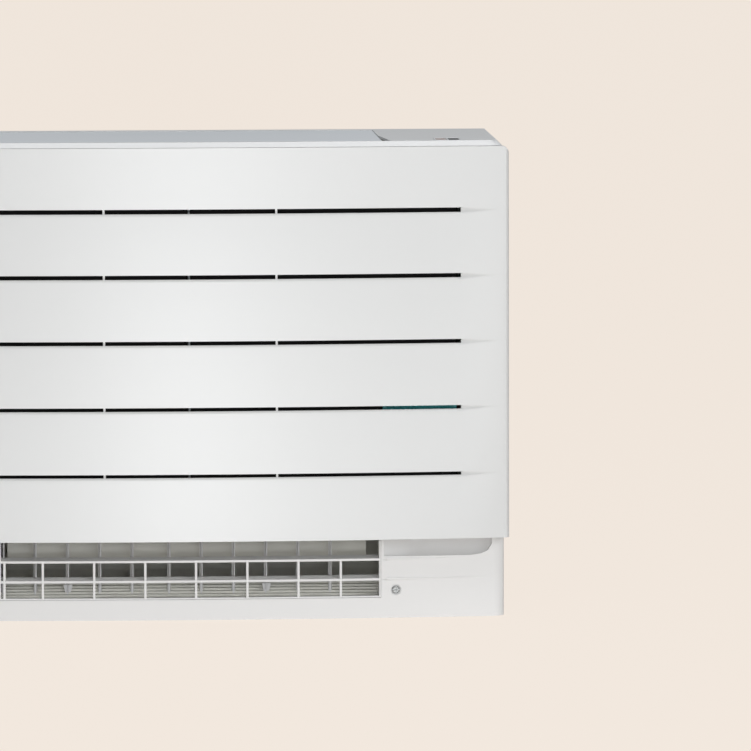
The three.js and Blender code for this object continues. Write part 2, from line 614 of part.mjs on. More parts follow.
// Curved shutter that closes the way to the lower outlet.
function buildShutter() {
  const [py, pz] = SHUTTER_PIVOT;
  const reach = 212;
  const long = 32;
  const arc = range(7).map((i) => {
    const t = i / 6;
    return [py - 3 - 5 * Math.sin(t * Math.PI), pz - long * t];
  });
  const inner = arc.map(([y, z]) => [y + 2, z]).reverse();
  const leaf = prism('x', [...arc, ...inner], [-reach, reach]);
  const tube = [-1, 1].map((side) => {
    const x = [side * (reach - 14), side * (DUCT_HALF - 2)].sort((a, b) => a - b);
    return cut(rod('x', 5, x, [py, pz], 16), rod('x', 2.5 + RUN / 2, [x[0] - 1, x[1] + 1], [py, pz], 12));
  });
  const ribs = [-1, 0, 1].map((k) => prism('x', [[py - 3, pz - 2], [py + 1, pz - 4], [py - 2, pz - long + 2],
    [py - 4, pz - long + 2]], [k * 140 - 1, k * 140 + 1]));
  return join(leaf, ...tube, ...ribs);
}

// ---------------------------------------------------------------- top outlet
const FLAP_PIVOT = [FLAP_BACK - 10, HEIGHT - FLAP_PIVOT_DROP];    // y, z
const flapHalf = OUTLET_HALF + 2.5 - 0.8;
const UPPER_DUCT_LOW = HEIGHT - 92;
const UPPER_Y = DEPTH / 2 - 79;               // pivots of the upper blades
const UPPER_LOW = HEIGHT - 84;
const UPPER_LONG = 56;
const UPPER_HIGH = 44;
const upperPitch = (2 * OUTLET_HALF) / UPPER_BLADES;
const upperBlades = range(UPPER_BLADES).map((i) => upperPitch * (i - (UPPER_BLADES - 1) / 2));

function buildFlap() {
  const [py, pz] = FLAP_PIVOT;
  const front = FLAP_FRONT + 1.5;
  const rear = FLAP_BACK - 2.5;
  const top = HEIGHT - 0.4;
  const skin = prism('x', [
    [front, top - 9], [front + 2.4, top - 9], [front + 4, top - FLAP_WALL], [rear - 6, top - FLAP_WALL],
    [rear - 1.5, top - FLAP_WALL - 1], [rear, top - 1.5], [rear - 2, top], [front + 2, top], [front, top - 2],
  ], [-flapHalf, flapHalf]);
  const ribs = [-150, -75, 0, 75, 150].map((x) => prism('x', [
    [front + 3, top - 2], [front + 3, top - 8], [60, top - 5], [rear - 16, top - 2],
  ], [x - 1, x + 1]));
  const arms = [-1, 1].map((side) => {
    const x = [side * (flapHalf - 1.5), side * (flapHalf - 7.5)].sort((a, b) => a - b);
    const arm = join(
      prism('x', [[py - 26, top - 2], [py - 3, pz - 4], [py + 3, pz - 4], [py + 5, top - 2]], x),
      rod('x', 5.5, x, [py, pz], 16),
    );
    return cut(arm, rod('x', 2.5 + RUN / 2, [x[0] - 1, x[1] + 1], [py, pz], 12));
  });
  return join(skin, ...ribs, ...arms);
}

function buildUpperDuct() {
  const outer = flapHalf + 4;
  const wall = 2.4;
  const top = deckUnder - GAP;
  const [guideFront, guideRear, guideLow, guideHigh] = [-78, BELL_Y + 2.8, COIL_HIGH + 4, top - 14];
  const curve = (grow) => range(6).map((i) => {
    const turn = (i * Math.PI) / 10;
    return [
      guideFront + (guideRear - guideFront + grow) * Math.cos(turn),
      guideLow + (guideHigh - guideLow + grow) * Math.sin(turn),
    ];
  });
  const front = prism('x', [
    [guideRear, UPPER_DUCT_LOW], ...curve(0), [guideFront, top - 8],
    [guideFront + wall, top - 8], ...curve(wall).reverse().slice(1), [guideRear + wall, UPPER_DUCT_LOW],
  ], [-outer, outer]);
  const [py, pz] = FLAP_PIVOT;
  const ends = [-1, 1].map((side) => {
    const x = [side * (outer - wall), side * outer].sort((a, b) => a - b);
    const pin = [side * (outer - 1), side * (flapHalf - 8)].sort((a, b) => a - b);
    const plate = prism('x', [
      [guideRear, UPPER_DUCT_LOW], [112, UPPER_DUCT_LOW], [112, top], [-30, top],
      [-30, top - 8], [guideFront, top - 8],
      [guideFront, guideHigh], [guideRear, guideLow],
    ], x);
    return join(plate, rod('x', 2.5, pin, [py, pz], 12));
  });
  const rails = [[UPPER_LOW - 6, UPPER_LOW - 2], [UPPER_LOW + UPPER_HIGH + GAP, UPPER_LOW + UPPER_HIGH + 4]]
    .map((z) => block([-outer + 1, outer - 1], [UPPER_Y - 5, UPPER_Y + 5], z));
  const holes = upperBlades.map((x) =>
    rod('z', pinHole(LOUVRE_PIN), [UPPER_DUCT_LOW, UPPER_LOW + UPPER_HIGH + 8], [x, UPPER_Y], HOLE_SIDES));
  return join(front, ...ends, ...rails.map((rail) => cut(rail, ...holes)));
}

function upperBlade(x) {
  const half = LOUVRE_WALL / 2;
  const [front, rear] = [UPPER_Y - UPPER_LONG / 2, UPPER_Y + UPPER_LONG / 2];
  const low = UPPER_LOW - 2 + GAP;
  const high = UPPER_LOW + UPPER_HIGH;
  const blade = prism('x', [[front, low + 8], [front + 10, low], [rear, low], [rear, high - 12],
    [rear - 12, high], [front, high]], [x - half, x + half]);
  return join(
    blade,
    rod('z', LOUVRE_PIN, [low - 4, low + 1], [x, UPPER_Y], PIN_SIDES),
    rod('z', LOUVRE_PIN, [high - 1, high + 3.6], [x, UPPER_Y], PIN_SIDES),
    rod('z', LINK_PIN, [low - LINK_HIGH - 0.8, low + 1], [x, UPPER_Y + 18], PIN_SIDES),
  );
}

// ---------------------------------------------------------------- fan and motor
function ring(profile, sides = 24) {
  const points = profile.map(([r, y]) => new THREE.Vector2(r, y));
  points.push(points[0].clone());
  return solid(new THREE.LatheGeometry(points, sides).translate(0, 0, FAN_Z));
}

function fanBlade(turn) {
  const [inner, outer] = [100, FAN_R - 1];
  const steps = 4;
  const side = (offset) => range(steps + 1).map((i) => {
    const t = i / steps;
    const r = lerp(inner, outer, t);
    const angle = turn - 0.62 * t ** 1.2 + offset / r;
    return [r * Math.cos(angle), FAN_Z + r * Math.sin(angle)];
  });
  return prism('y', [...side(1.2), ...side(-1.2).reverse()], [FAN_FRONT + 6, FAN_FRONT + FAN_WIDTH - 1]);
}

function buildFan() {
  const rear = FAN_FRONT + FAN_WIDTH;
  const hub = ring([
    [SHAFT_R + 0.3, rear - 34], [14, rear - 34], [15, rear - 22], [38, rear - 20], [62, rear - 4],
    [FAN_R, rear - 2.4], [FAN_R, rear], [60, rear - 0.6], [35, rear - 17], [SHAFT_R + 0.3, rear - 17],
  ]);
  const shroud = ring([
    [110, FAN_FRONT], [112.4, FAN_FRONT], [116, FAN_FRONT + 5], [FAN_R, FAN_FRONT + 14],
    [FAN_R, FAN_FRONT + 16.4], [115, FAN_FRONT + 8], [110, FAN_FRONT + 3],
  ]);
  const blades = range(FAN_BLADES).map((i) => fanBlade((i * 2 * Math.PI) / FAN_BLADES));
  const bore = rod('y', SHAFT_R + 0.3, [-40, rear + 10], [0, FAN_Z], 16);
  return cut(join(hub, shroud, ...blades), bore);
}

const motorFront = FAN_FRONT + FAN_WIDTH + 3;
const motorBack = motorFront + MOTOR_LONG;

function buildMotor() {
  const can = ring([
    [SHAFT_R + 0.5, motorFront], [16, motorFront], [18, motorFront + 4], [MOTOR_R - 6, motorFront + 4],
    [MOTOR_R, motorFront + 9], [MOTOR_R, motorBack - 3], [MOTOR_R - 3, motorBack],
    [SHAFT_R + 0.5, motorBack],
  ], 22);
  const feet = range(3).map((i) => {
    const turn = (i * 2 * Math.PI) / 3 + Math.PI / 2;
    const [x, z] = [(MOTOR_R + 4) * Math.cos(turn), FAN_Z + (MOTOR_R + 4) * Math.sin(turn)];
    return rod('y', 8, [motorBack - 8, motorBack], [x, z], 10);
  });
  return join(can, ...feet);
}

function buildMotorMount() {
  const y = [motorBack + GAP, back - WALL - GAP];
  const arms = range(3).map((i) => {
    const turn = (i * 2 * Math.PI) / 3 + Math.PI / 2;
    const [x, z] = [(MOTOR_R + 4) * Math.cos(turn), FAN_Z + (MOTOR_R + 4) * Math.sin(turn)];
    return rod('y', 10, y, [x, z], 10);
  });
  return join(ring([[30, y[0]], [MOTOR_R + 2, y[0]], [MOTOR_R + 2, y[1]], [30, y[1]]], 20), ...arms);
}

function buildBellMouth() {
  const [half, low, high] = [COIL_HALF + 2, COIL_LOW - 10, COIL_HIGH];
  const eye = range(24).map((i) => {
    const turn = (i * Math.PI) / 12;
    return [(BELL_R + 8) * Math.cos(turn), FAN_Z + (BELL_R + 8) * Math.sin(turn)];
  });
  const sheet = prism('y', [[-half, low], [half, low], [half, high], [-half, high]], [BELL_Y, BELL_Y + 2.4],
    [eye]);
  const mouth = ring([
    [BELL_R + 12, BELL_Y], [BELL_R + 12, BELL_Y + 2.4], [BELL_R + 6, BELL_Y + 4], [BELL_R + 2.4, BELL_Y + 10],
    [BELL_R + 2.4, FAN_FRONT + 5], [BELL_R, FAN_FRONT + 5], [BELL_R, BELL_Y + 9], [BELL_R + 4, BELL_Y + 2],
  ], 24);
  return join(sheet, mouth);
}

// ---------------------------------------------------------------- heat exchanger and pan
function buildCoil() {
  const pitch = (2 * COIL_HALF) / COIL_FINS;
  const outline = [[-COIL_HALF, COIL_BACK]];
  for (const i of range(COIL_FINS)) {
    const x = -COIL_HALF + pitch * i;
    outline.push([x, COIL_FRONT], [x + pitch * 0.35, COIL_FRONT]);
    outline.push([x + pitch * 0.45, COIL_FRONT + 4], [x + pitch * 0.9, COIL_FRONT + 4]);
  }
  outline.push([COIL_HALF, COIL_FRONT], [COIL_HALF, COIL_BACK]);
  return prism('z', outline, [COIL_LOW, COIL_HIGH]);
}

// End plate of the heat exchanger with the return bends of its tubes.
function coilEnd(side) {
  const near = COIL_HALF + GAP;
  const x = [side * near, side * (near + 1.6)].sort((a, b) => a - b);
  const plate = block(x, [COIL_FRONT, COIL_BACK], [COIL_LOW, COIL_HIGH]);
  const pitch = (COIL_HIGH - COIL_LOW) / COIL_TUBE_ROWS;
  const y = (COIL_FRONT + COIL_BACK) / 2;
  const bends = range(COIL_TUBE_ROWS / 2).map((i) => {
    const z = COIL_LOW + pitch * (2 * i + 1);
    const path = new THREE.CatmullRomCurve3(range(5).map((k) => {
      const turn = (k * Math.PI) / 4;
      return new THREE.Vector3(side * (near + 2 + 10 * Math.sin(turn)), y, z - (pitch / 2) * Math.cos(turn));
    }));
    const section = new THREE.Shape();
    section.absarc(0, 0, COIL_TUBE, 0, 2 * Math.PI);
    return solid(new THREE.ExtrudeGeometry(section, { steps: 5, curveSegments: 3, extrudePath: path }));
  });
  return join(plate, ...bends);
}

function buildPan() {
  const low = COIL_LOW - 4 - PAN_DEPTH;
  const [front, rear] = [COIL_FRONT - 3, COIL_BACK + 6];
  const reach = COIL_HALF + 12;
  const tray = cut(
    block([-reach, reach], [front, rear], [low, low + PAN_DEPTH]),
    block([-reach + 2, reach - 2], [front + 2, rear - 2], [low + 2.4, low + PAN_DEPTH + 1]),
  );
  const rests = [-1, 0, 1].map((side) => block([side * 200 - 6, side * 200 + 6],
    [COIL_FRONT + 6, COIL_BACK - 6], [low + 1, COIL_LOW - GAP]));
  return join(cut(tray, rod('x', 6, [-reach - 1, -reach + 6], [(front + rear) / 2, low + 9], 12)), ...rests);
}

const pipe = (path, radius, steps) => {
  const section = new THREE.Shape();
  section.absarc(0, 0, radius, 0, 2 * Math.PI);
  const points = path.map((point) => new THREE.Vector3(...point));
  const curve = new THREE.CatmullRomCurve3(points, false, 'centripetal');
  return solid(new THREE.ExtrudeGeometry(section, { steps, curveSegments: 4, extrudePath: curve }));
};


// ---------------------------------------------------------------- filters
// An air filter's frame: a rim with crossing ribs.
function buildFilter(side) {
  const [near, far] = [1.5, COIL_HALF + 4];
  const y = [FILTER_BACK - FILTER_WALL, FILTER_BACK];
  const [columns, rows] = [3, 4];
  const rim = 6;
  const rib = 2.4;
  const across = (x0, x1) => [side * x0, side * x1].sort((a, b) => a - b);
  const wide = (far - near - 2 * rim + rib) / columns;
  const high = (FILTER_HIGH - FILTER_LOW - 2 * rim + rib) / rows;
  const holes = range(columns * rows).map((i) => {
    const x0 = near + rim + wide * (i % columns);
    const z0 = FILTER_LOW + rim + high * Math.floor(i / columns);
    return block(across(x0, x0 + wide - rib), [y[0] - 1, y[1] + 1], [z0, z0 + high - rib]);
  });
  return cut(block(across(near, far), y, [FILTER_LOW, FILTER_HIGH]), ...holes);
}

// Cassette with a pleated purifying filter, clipped to the front of an air filter.
function buildPurifier(side) {
  const [near, far] = [SLIT_HALF - 4 - PURIFIER_WIDE, SLIT_HALF - 4];
  const y = [FILTER_BACK - FILTER_WALL - GAP - 9, FILTER_BACK - FILTER_WALL - GAP];
  const z = [PURIFIER_Z - PURIFIER_HIGH / 2, PURIFIER_Z + PURIFIER_HIGH / 2];
  const x = [side * near, side * far].sort((a, b) => a - b);
  const frame = block(x, y, z);
  const pleats = 12;
  const pitch = (x[1] - x[0] - 8) / pleats;
  const comb = [[x[0] + 4, y[0] - 1]];
  for (const i of range(pleats)) {
    comb.push([x[0] + 4 + pitch * (i + 0.5), y[0] + 5], [x[0] + 4 + pitch * (i + 1), y[0] + 1]);
  }
  comb.push([x[1] - 4, y[0] - 1]);
  return cut(frame, prism('z', comb, [z[0] + 4, z[1] - 4]));
}

// ---------------------------------------------------------------- electrics
const ELECTRIC_X = [COIL_HALF + 22, CASE_HALF - WALL - 2.4 - 2 * GAP];
const ELECTRIC_Y = [COIL_FRONT, DEPTH / 2 - 35];
const ELECTRIC_Z = [140, HEIGHT - 92];
const ELECTRIC_WALL = 2;

function buildElectricalBox() {
  const w = ELECTRIC_WALL;
  const outer = block(ELECTRIC_X, ELECTRIC_Y, ELECTRIC_Z);
  const [x0, x1] = ELECTRIC_X;
  const inner = block([x0 + w, x1 - w], [ELECTRIC_Y[0] - 1, ELECTRIC_Y[1] - w],
    [ELECTRIC_Z[0] + w, ELECTRIC_Z[1] - w]);
  const bosses = [0.2, 0.8].flatMap((t) => [-10, 60].map((y) =>
    rod('x', 3, [x0 + w - 1, x0 + w + 5], [y, lerp(ELECTRIC_Z[0], ELECTRIC_Z[1], t)], 8)));
  return join(cut(outer, inner), ...bosses);
}

const ELECTRIC_LID = [ELECTRIC_Y[0] - GAP - 1.6, ELECTRIC_Y[0] - GAP];

function buildElectricalLid() {
  const plate = block([ELECTRIC_X[0] - 2, ELECTRIC_X[1] + 1], ELECTRIC_LID, ELECTRIC_Z);
  const [x, w] = [ELECTRIC_X[0] + ELECTRIC_WALL + GAP, ELECTRIC_WALL];
  const lipHigh = [ELECTRIC_Z[0] + 6, ELECTRIC_Z[1] - 6];
  const lip = block([x, x + w], [ELECTRIC_LID[0], ELECTRIC_LID[1] + 6], lipHigh);
  return join(plate, lip);
}

const boardX = ELECTRIC_X[0] + ELECTRIC_WALL + 5 + GAP;

function buildBoard() {
  const z = [ELECTRIC_Z[0] + 40, ELECTRIC_Z[1] - 10];
  const board = block([boardX, boardX + 1.6], [-30, 76], z);
  const parts = [
    [-20, 12, 60, 30], [20, 24, 90, 14], [52, 14, 150, 18], [-16, 20, 190, 16], [30, 26, 230, 12],
  ];
  return join(board, ...parts.map(([y, wide, up, tall]) =>
    block([boardX + 1, boardX + 10], [y, y + wide], [z[0] + up, z[0] + up + tall])));
}

function buildTerminals() {
  const z = [ELECTRIC_Z[0] + 8, ELECTRIC_Z[0] + 34];
  const [x, step] = [ELECTRIC_X[0] + ELECTRIC_WALL + GAP, 16];
  const body = block([x, x + 16], [-20, -20 + step * 4 + 4], z);
  const slots = range(4).map((i) => {
    const y = -20 + 4 + step * i;
    return block([x + 6, x + 17], [y, y + step - 4], [z[0] + 4, z[1] + 1]);
  });
  return cut(body, ...slots);
}

// ---------------------------------------------------------------- display
const bezelTop = HEIGHT + 0.4;
const bezelMiddle = (DISPLAY_X[0] + DISPLAY_X[1]) / 2;
const BUTTON_X = [DISPLAY_X[0] + 2.2, bezelMiddle - 1];
const WINDOW_X = [bezelMiddle + 1, DISPLAY_X[1] - 2.2];
const INSET_Y = [DISPLAY_Y[0] + 2.2, DISPLAY_Y[1] - 2.2];

function buildBezel() {
  const [x0, x1] = [DISPLAY_X[0] + GAP, DISPLAY_X[1] - GAP];
  const [y0, y1] = [DISPLAY_Y[0] + GAP, DISPLAY_Y[1] - GAP];
  const body = block([x0, x1], [y0, y1], [deckUnder - 8, bezelTop]);
  const flange = block([x0 - 3, x1 + 3], [y0 + 1, y1 + 3], [deckUnder - 4, deckUnder - GAP]);
  return cut(
    join(body, flange),
    block(BUTTON_X, INSET_Y, [deckUnder - 9, bezelTop + 1]),
    block(WINDOW_X, INSET_Y, [deckUnder - 9, bezelTop + 1]),
  );
}

function buildButton() {
  const [x0, x1] = [BUTTON_X[0] + GAP, BUTTON_X[1] - GAP];
  const [y0, y1] = [INSET_Y[0] + GAP, INSET_Y[1] - GAP];
  const cap = loft([
    [[x0, y0, deckUnder - 4], [x1, y0, deckUnder - 4], [x1, y1, deckUnder - 4], [x0, y1, deckUnder - 4]],
    [[x0, y0, HEIGHT - 0.4], [x1, y0, HEIGHT - 0.4], [x1, y1, HEIGHT - 0.4], [x0, y1, HEIGHT - 0.4]],
    [[x0 + 0.8, y0 + 0.8, HEIGHT], [x1 - 0.8, y0 + 0.8, HEIGHT], [x1 - 0.8, y1 - 0.8, HEIGHT],
      [x0 + 0.8, y1 - 0.8, HEIGHT]],
  ]);
  const middle = [(x0 + x1) / 2, (y0 + y1) / 2];
  return join(cap, rod('z', 2, [deckUnder - 9, deckUnder - 3], middle, 8));
}

function buildWindow() {
  const [x0, x1] = [WINDOW_X[0] + GAP, WINDOW_X[1] - GAP];
  const [y0, y1] = [INSET_Y[0] + GAP, INSET_Y[1] - GAP];
  return block([x0, x1], [y0, y1], [deckUnder - 8 + GAP, HEIGHT - 0.2]);
}

const displayBoardTop = deckUnder - 8 - GAP - BUTTON_TRAVEL - 1.5;

function buildDisplayBoard() {
  const board = block([DISPLAY_X[0] - 6, DISPLAY_X[1] + 6], [DISPLAY_Y[0] + 4, DISPLAY_Y[1] + 4],
    [displayBoardTop - 1.6, displayBoardTop]);
  const posts = [DISPLAY_X[0] + 1, DISPLAY_X[1] - 1].map((x) =>
    rod('z', 1, [displayBoardTop - 1, deckUnder - 8 - GAP + 0.1], [x, DISPLAY_Y[1] - 1], PIN_SIDES));
  return join(board, ...posts);
}

// ---------------------------------------------------------------- rear case
const KEYHOLE_X = [-WIDTH / 3, WIDTH / 3];    // wall fixings
const KEYHOLE_Z = [180, HEIGHT - 92];

// Chamber wall beside the fan: narrowest at the shaft's height and wider towards both outlets.
function chamberWall(side) {
  const low = DUCT_CEILING + 12;
  const high = UPPER_DUCT_LOW - 2;
  const inner = range(9).map((i) => {
    const z = lerp(low, high, i / 8);
    const t = (z - FAN_Z) / (high - FAN_Z);
    return [side * (FAN_R + 20 + (CHAMBER_HALF - FAN_R - 20) * Math.min(1, Math.abs(t)) ** 1.6), z];
  });
  const outer = inner.map(([x, z]) => [x + side * 2.6, z]).reverse();
  return prism('y', [...inner, ...outer], [BELL_Y + 2.4 + GAP, back - 1]);
}

function buildRearCase() {
  const half = CASE_HALF - WALL - GAP;
  const [low, high] = [WALL + GAP, HEIGHT - BROW - SHOULDER - GAP];
  const plate = join(
    block([-half, half], [back - WALL, back], [low, high]),
    block([-half + 14, half - 14], [back - WALL, back], [high - 1, deckUnder - GAP]),
  );
  const sides = [-1, 1].map((side) => {
    const x = [side * half, side * (half - 2.4)].sort((a, b) => a - b);
    return block(x, [-58, back - 1], [low, high]);
  });
  const floor = block([-half, half], [34, back - 1], [low, low + 2.4]);
  const ribs = [-1, 1].map((side) => side * (CASE_HALF - 71)).map((x) =>
    block([x - 1.2, x + 1.2], [back - 16, back - 1], [low, UPPER_DUCT_LOW + 10]));
  const shelfHigh = [UPPER_DUCT_LOW - 8, UPPER_DUCT_LOW - 4];
  const shelf = block([-CHAMBER_HALF - 2, CHAMBER_HALF + 2], [back - 8, back - 1], shelfHigh);
  let body = join(plate, ...sides, floor, ...ribs, shelf, chamberWall(-1), chamberWall(1));
  for (const x of KEYHOLE_X) {
    for (const z of KEYHOLE_Z) {
      const y = [back - WALL - 1, back + 1];
      body = cut(body, rod('y', 6, y, [x, z - 8], 14), block([x - 2.6, x + 2.6], y, [z - 8, z + 4]));
    }
  }
  return body;
}

// ---------------------------------------------------------------- refrigerant pipes and drain
const PIPE_X = -(COIL_HALF + 34);
const coilY = (COIL_FRONT + COIL_BACK) / 2;

function refrigerantPipe(radius, x, startZ, y, endZ) {
  return pipe([
    [-COIL_HALF - 3 * GAP - 1.6, coilY, startZ], [x + 8, coilY + 2, startZ], [x, coilY + 12, startZ - 8],
    [x, y, startZ - 24], [x, y + 2, endZ + 60], [x, y + 2, endZ],
  ], radius, 14);
}

function flareNut(radius, x, y, z) {
  const nut = rod('z', radius + 5, [z - 18, z], [x, y], 6);
  const neck = rod('z', radius + 2.4, [z - 26, z - 17], [x, y], 12);
  return cut(join(nut, neck), rod('z', radius - 1, [z - 27, z - 4], [x, y], 12));
}

const BARBS = [4, 9];

function buildSpout() {
  const low = COIL_LOW - 4 - PAN_DEPTH;
  const y = (COIL_FRONT - 3 + COIL_BACK + 6) / 2;
  const x = -(COIL_HALF + 12);
  const out = join(
    rod('x', 5.6, [x - 22, x + 1.6], [y, low + 9], 10),
    rod('x', 8, [x - 3, x - GAP], [y, low + 9], 10),
  );
  const rings = BARBS.map((at) => rod('x', 6.8, [x - 6 - at, x - 4 - at], [y, low + 9], 10));
  return cut(join(out, ...rings), rod('x', 4, [x - 30, x + 4], [y, low + 9], 10));
}

// ---------------------------------------------------------------- small parts
function buildScrew(side) {
  const face = caseFace(SCREW_X) + 2.4 - GAP;
  const at = [side * SCREW_X, SCREW_Z];
  const dome = [[0, face - 2.6], [2.6, face - 2.4], [SCREW_HEAD, face - 0.8], [SCREW_HEAD, face], [0, face]];
  const head = ringAt(dome, at, 14);
  const shank = rod('y', 1.9, [face - 0.2, face + 13], at, 8);
  const slots = [0, 1].map((turn) => {
    const bar = new THREE.BoxGeometry(5.2, 3, 1).rotateY((turn * Math.PI) / 2);
    return solid(bar.translate(at[0], face - 2.6, at[1]));
  });
  return cut(join(head, shank), ...slots);
}

function ringAt(profile, [x, z], sides) {
  const points = profile.map(([r, y]) => new THREE.Vector2(r, y));
  return solid(new THREE.LatheGeometry(points, sides).translate(x, 0, z));
}

// Small stepper motor lying along x, with its mounting ears.
function stepper(x, y, z, length) {
  return join(
    rod('x', 12, x, [y, z], 20),
    block([x[0], x[0] + 1.6], [y - 18, y + 18], [z - 4, z + 4]),
    rod('x', 2.4, length, [y, z], 10),
  );
}

// ---------------------------------------------------------------- assembly
const sides = [[-1, 'left'], [1, 'right']];

piece('front_panel', buildPanel(), white());
piece('front_casing', buildCasing(), white());
piece('rear_case', buildRearCase(), greyPlastic());
piece('outlet_grille', buildGrille(), white());
piece('lower_duct', buildLowerDuct(), greyPlastic());
piece('lower_shutter', buildShutter(), greyPlastic());
piece('upper_duct', buildUpperDuct(), foam());
piece('upper_flap', buildFlap(), offWhite());

// One blade of each gang, the third from the left and the fourth from the left, carries the finger knob.
leftBlades.forEach((x, i) => piece(`louvre_left_${i + 1}`, louvre(x, i === 2), offWhite()));
rightBlades.forEach((x, i) => piece(`louvre_right_${i + 1}`, louvre(x, i === 3), offWhite()));
const linkZ = LOUVRE_LOW - LINK_HIGH - GAP;
piece('louvre_link_left', linkBar(leftBlades, LINK_Y, linkZ), offWhite());
piece('louvre_link_right', linkBar(rightBlades, LINK_Y, linkZ), offWhite());
upperBlades.forEach((x, i) => piece(`upper_blade_${i + 1}`, upperBlade(x), offWhite()));
piece('upper_blade_link', linkBar(upperBlades, UPPER_Y + 18, UPPER_LOW - 2 - LINK_HIGH), offWhite());

piece('turbo_fan', buildFan(), darkPlastic());
const fanRear = FAN_FRONT + FAN_WIDTH;
piece('motor_shaft', rod('y', SHAFT_R, [fanRear - 38, motorBack - 6], [0, FAN_Z], 16), zincSteel());
piece('fan_nut', cut(rod('y', 9, [fanRear - 42, fanRear - 34 - GAP], [0, FAN_Z], 6),
  rod('y', SHAFT_R + GAP, [fanRear - 39, fanRear], [0, FAN_Z], 12)), brass());
piece('fan_motor', buildMotor(), zincSteel());
piece('motor_mount', buildMotorMount(), darkPlastic());
piece('bell_mouth', buildBellMouth(), foam());

piece('heat_exchanger', buildCoil(), aluminium());
piece('drain_pan', buildPan(), foam());
piece('drain_spout', buildSpout(), darkPlastic());
// The pipes leave the end plate between two return bends.
const bendPitch = (COIL_HIGH - COIL_LOW) / COIL_TUBE_ROWS;
const [gasZ, liquidZ] = [COIL_LOW + bendPitch * 6, COIL_LOW + bendPitch * 2];
piece('gas_pipe', refrigerantPipe(6.35, PIPE_X, gasZ, 74, 150), copper());
piece('liquid_pipe', refrigerantPipe(3.2, PIPE_X + 6, liquidZ, 44, 120), copper());
piece('gas_flare_nut', flareNut(6.35, PIPE_X, 76, 149.6), brass());
piece('liquid_flare_nut', flareNut(3.2, PIPE_X + 6, 46, 119.6), brass());

for (const [side, name] of sides) {
  piece(`coil_end_${name}`, coilEnd(side), zincSteel());
  piece(`air_filter_${name}`, buildFilter(side), darkPlastic());
  piece(`purifier_${name}`, buildPurifier(side), teal());
  piece(`casing_screw_${name}`, buildScrew(side), zincSteel());
}

piece('electrical_box', buildElectricalBox(), zincSteel());
piece('electrical_lid', buildElectricalLid(), zincSteel());
piece('control_board', buildBoard(), boardGreen());
piece('terminal_block', buildTerminals(), offWhite());
piece('display_bezel', buildBezel(), offWhite());
piece('push_button', buildButton(), offWhite());
piece('receiver_window', buildWindow(), darkPlastic());
piece('display_board', buildDisplayBoard(), boardGreen());
const ductEnd = flapHalf + 4 + GAP;
const flapMotor = stepper([-ductEnd - 20, -ductEnd - 1.6], UPPER_Y + 20, HEIGHT - 30, [-ductEnd - 2, -ductEnd]);
piece('flap_motor', flapMotor, zincSteel());
const shutterEnd = DUCT_HALF + 2 + GAP;
piece('shutter_motor', stepper([shutterEnd, shutterEnd + 18], ...SHUTTER_PIVOT,
  [shutterEnd + 1, shutterEnd + 19]), zincSteel());

export default group;
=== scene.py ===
# %% [markdown]
# A floor standing air conditioner, dressed for its portrait.
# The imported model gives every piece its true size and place. This lesson keeps those shapes, softens
# their edges the way an injection mould does, adds the small pieces that a hand would notice, and
# gives each surface the finish of the real material.

# %% Load the frame
import json
import math

import bmesh
import bpy
from mathutils import Euler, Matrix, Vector


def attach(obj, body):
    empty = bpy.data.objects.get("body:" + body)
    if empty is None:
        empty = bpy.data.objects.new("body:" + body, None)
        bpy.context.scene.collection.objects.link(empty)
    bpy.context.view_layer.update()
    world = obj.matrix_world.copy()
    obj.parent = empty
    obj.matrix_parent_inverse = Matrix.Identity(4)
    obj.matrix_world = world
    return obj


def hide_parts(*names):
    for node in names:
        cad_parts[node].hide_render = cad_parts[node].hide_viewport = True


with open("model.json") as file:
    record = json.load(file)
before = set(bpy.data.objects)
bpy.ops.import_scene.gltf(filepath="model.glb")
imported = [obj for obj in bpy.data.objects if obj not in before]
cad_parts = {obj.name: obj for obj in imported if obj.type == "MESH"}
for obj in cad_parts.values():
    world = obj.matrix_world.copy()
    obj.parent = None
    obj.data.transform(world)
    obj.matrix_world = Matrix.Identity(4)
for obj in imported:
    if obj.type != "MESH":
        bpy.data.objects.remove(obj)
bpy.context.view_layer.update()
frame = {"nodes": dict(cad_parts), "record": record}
MM = 0.001

# %% [markdown]
# A unit like this is pictured from the front, with almost no perspective. A close camera would make
# the rows of slits run together, and an orthographic one would lose the last bit of depth. So this
# one stands twelve metres away, a little left of the unit and above it, with a very long lens.

# %% Camera
CAMERA_PLACE = Vector((-545, -12000, 1376)) * MM
LOOK_DOWN, LEAN, LOOK_RIGHT = 5.216, 0.062, 3.670    # degrees
LENS = 490.0
FARTHEST = 60
turn = [math.radians(v) for v in (90 - LOOK_DOWN, LEAN, -LOOK_RIGHT)]
bpy.ops.object.camera_add(location=CAMERA_PLACE, rotation=Euler(turn, "XYZ"))
camera = bpy.context.object
camera.name = "portrait_camera"
camera.data.lens = LENS
camera.data.clip_end = FARTHEST
bpy.context.scene.camera = camera
bpy.context.scene.view_settings.view_transform = "Standard"

# %% [markdown]
# Colours are written as the sRGB hex values that a paint card would give. Blender's shaders work in
# linear light, so one function turns the one into the other. A second small function adds a node,
# sets its values and wires its inputs, and a third opens an empty material.

# %% Colour and node helpers
def linear(hex_colour):
    """An sRGB hex colour, such as 'E8E6E2', as linear RGBA."""
    parts = [int(hex_colour[i:i + 2], 16) / 255 for i in (0, 2, 4)]
    return tuple(v / 12.92 if v <= 0.04045 else ((v + 0.055) / 1.055) ** 2.4 for v in parts) + (1.0,)


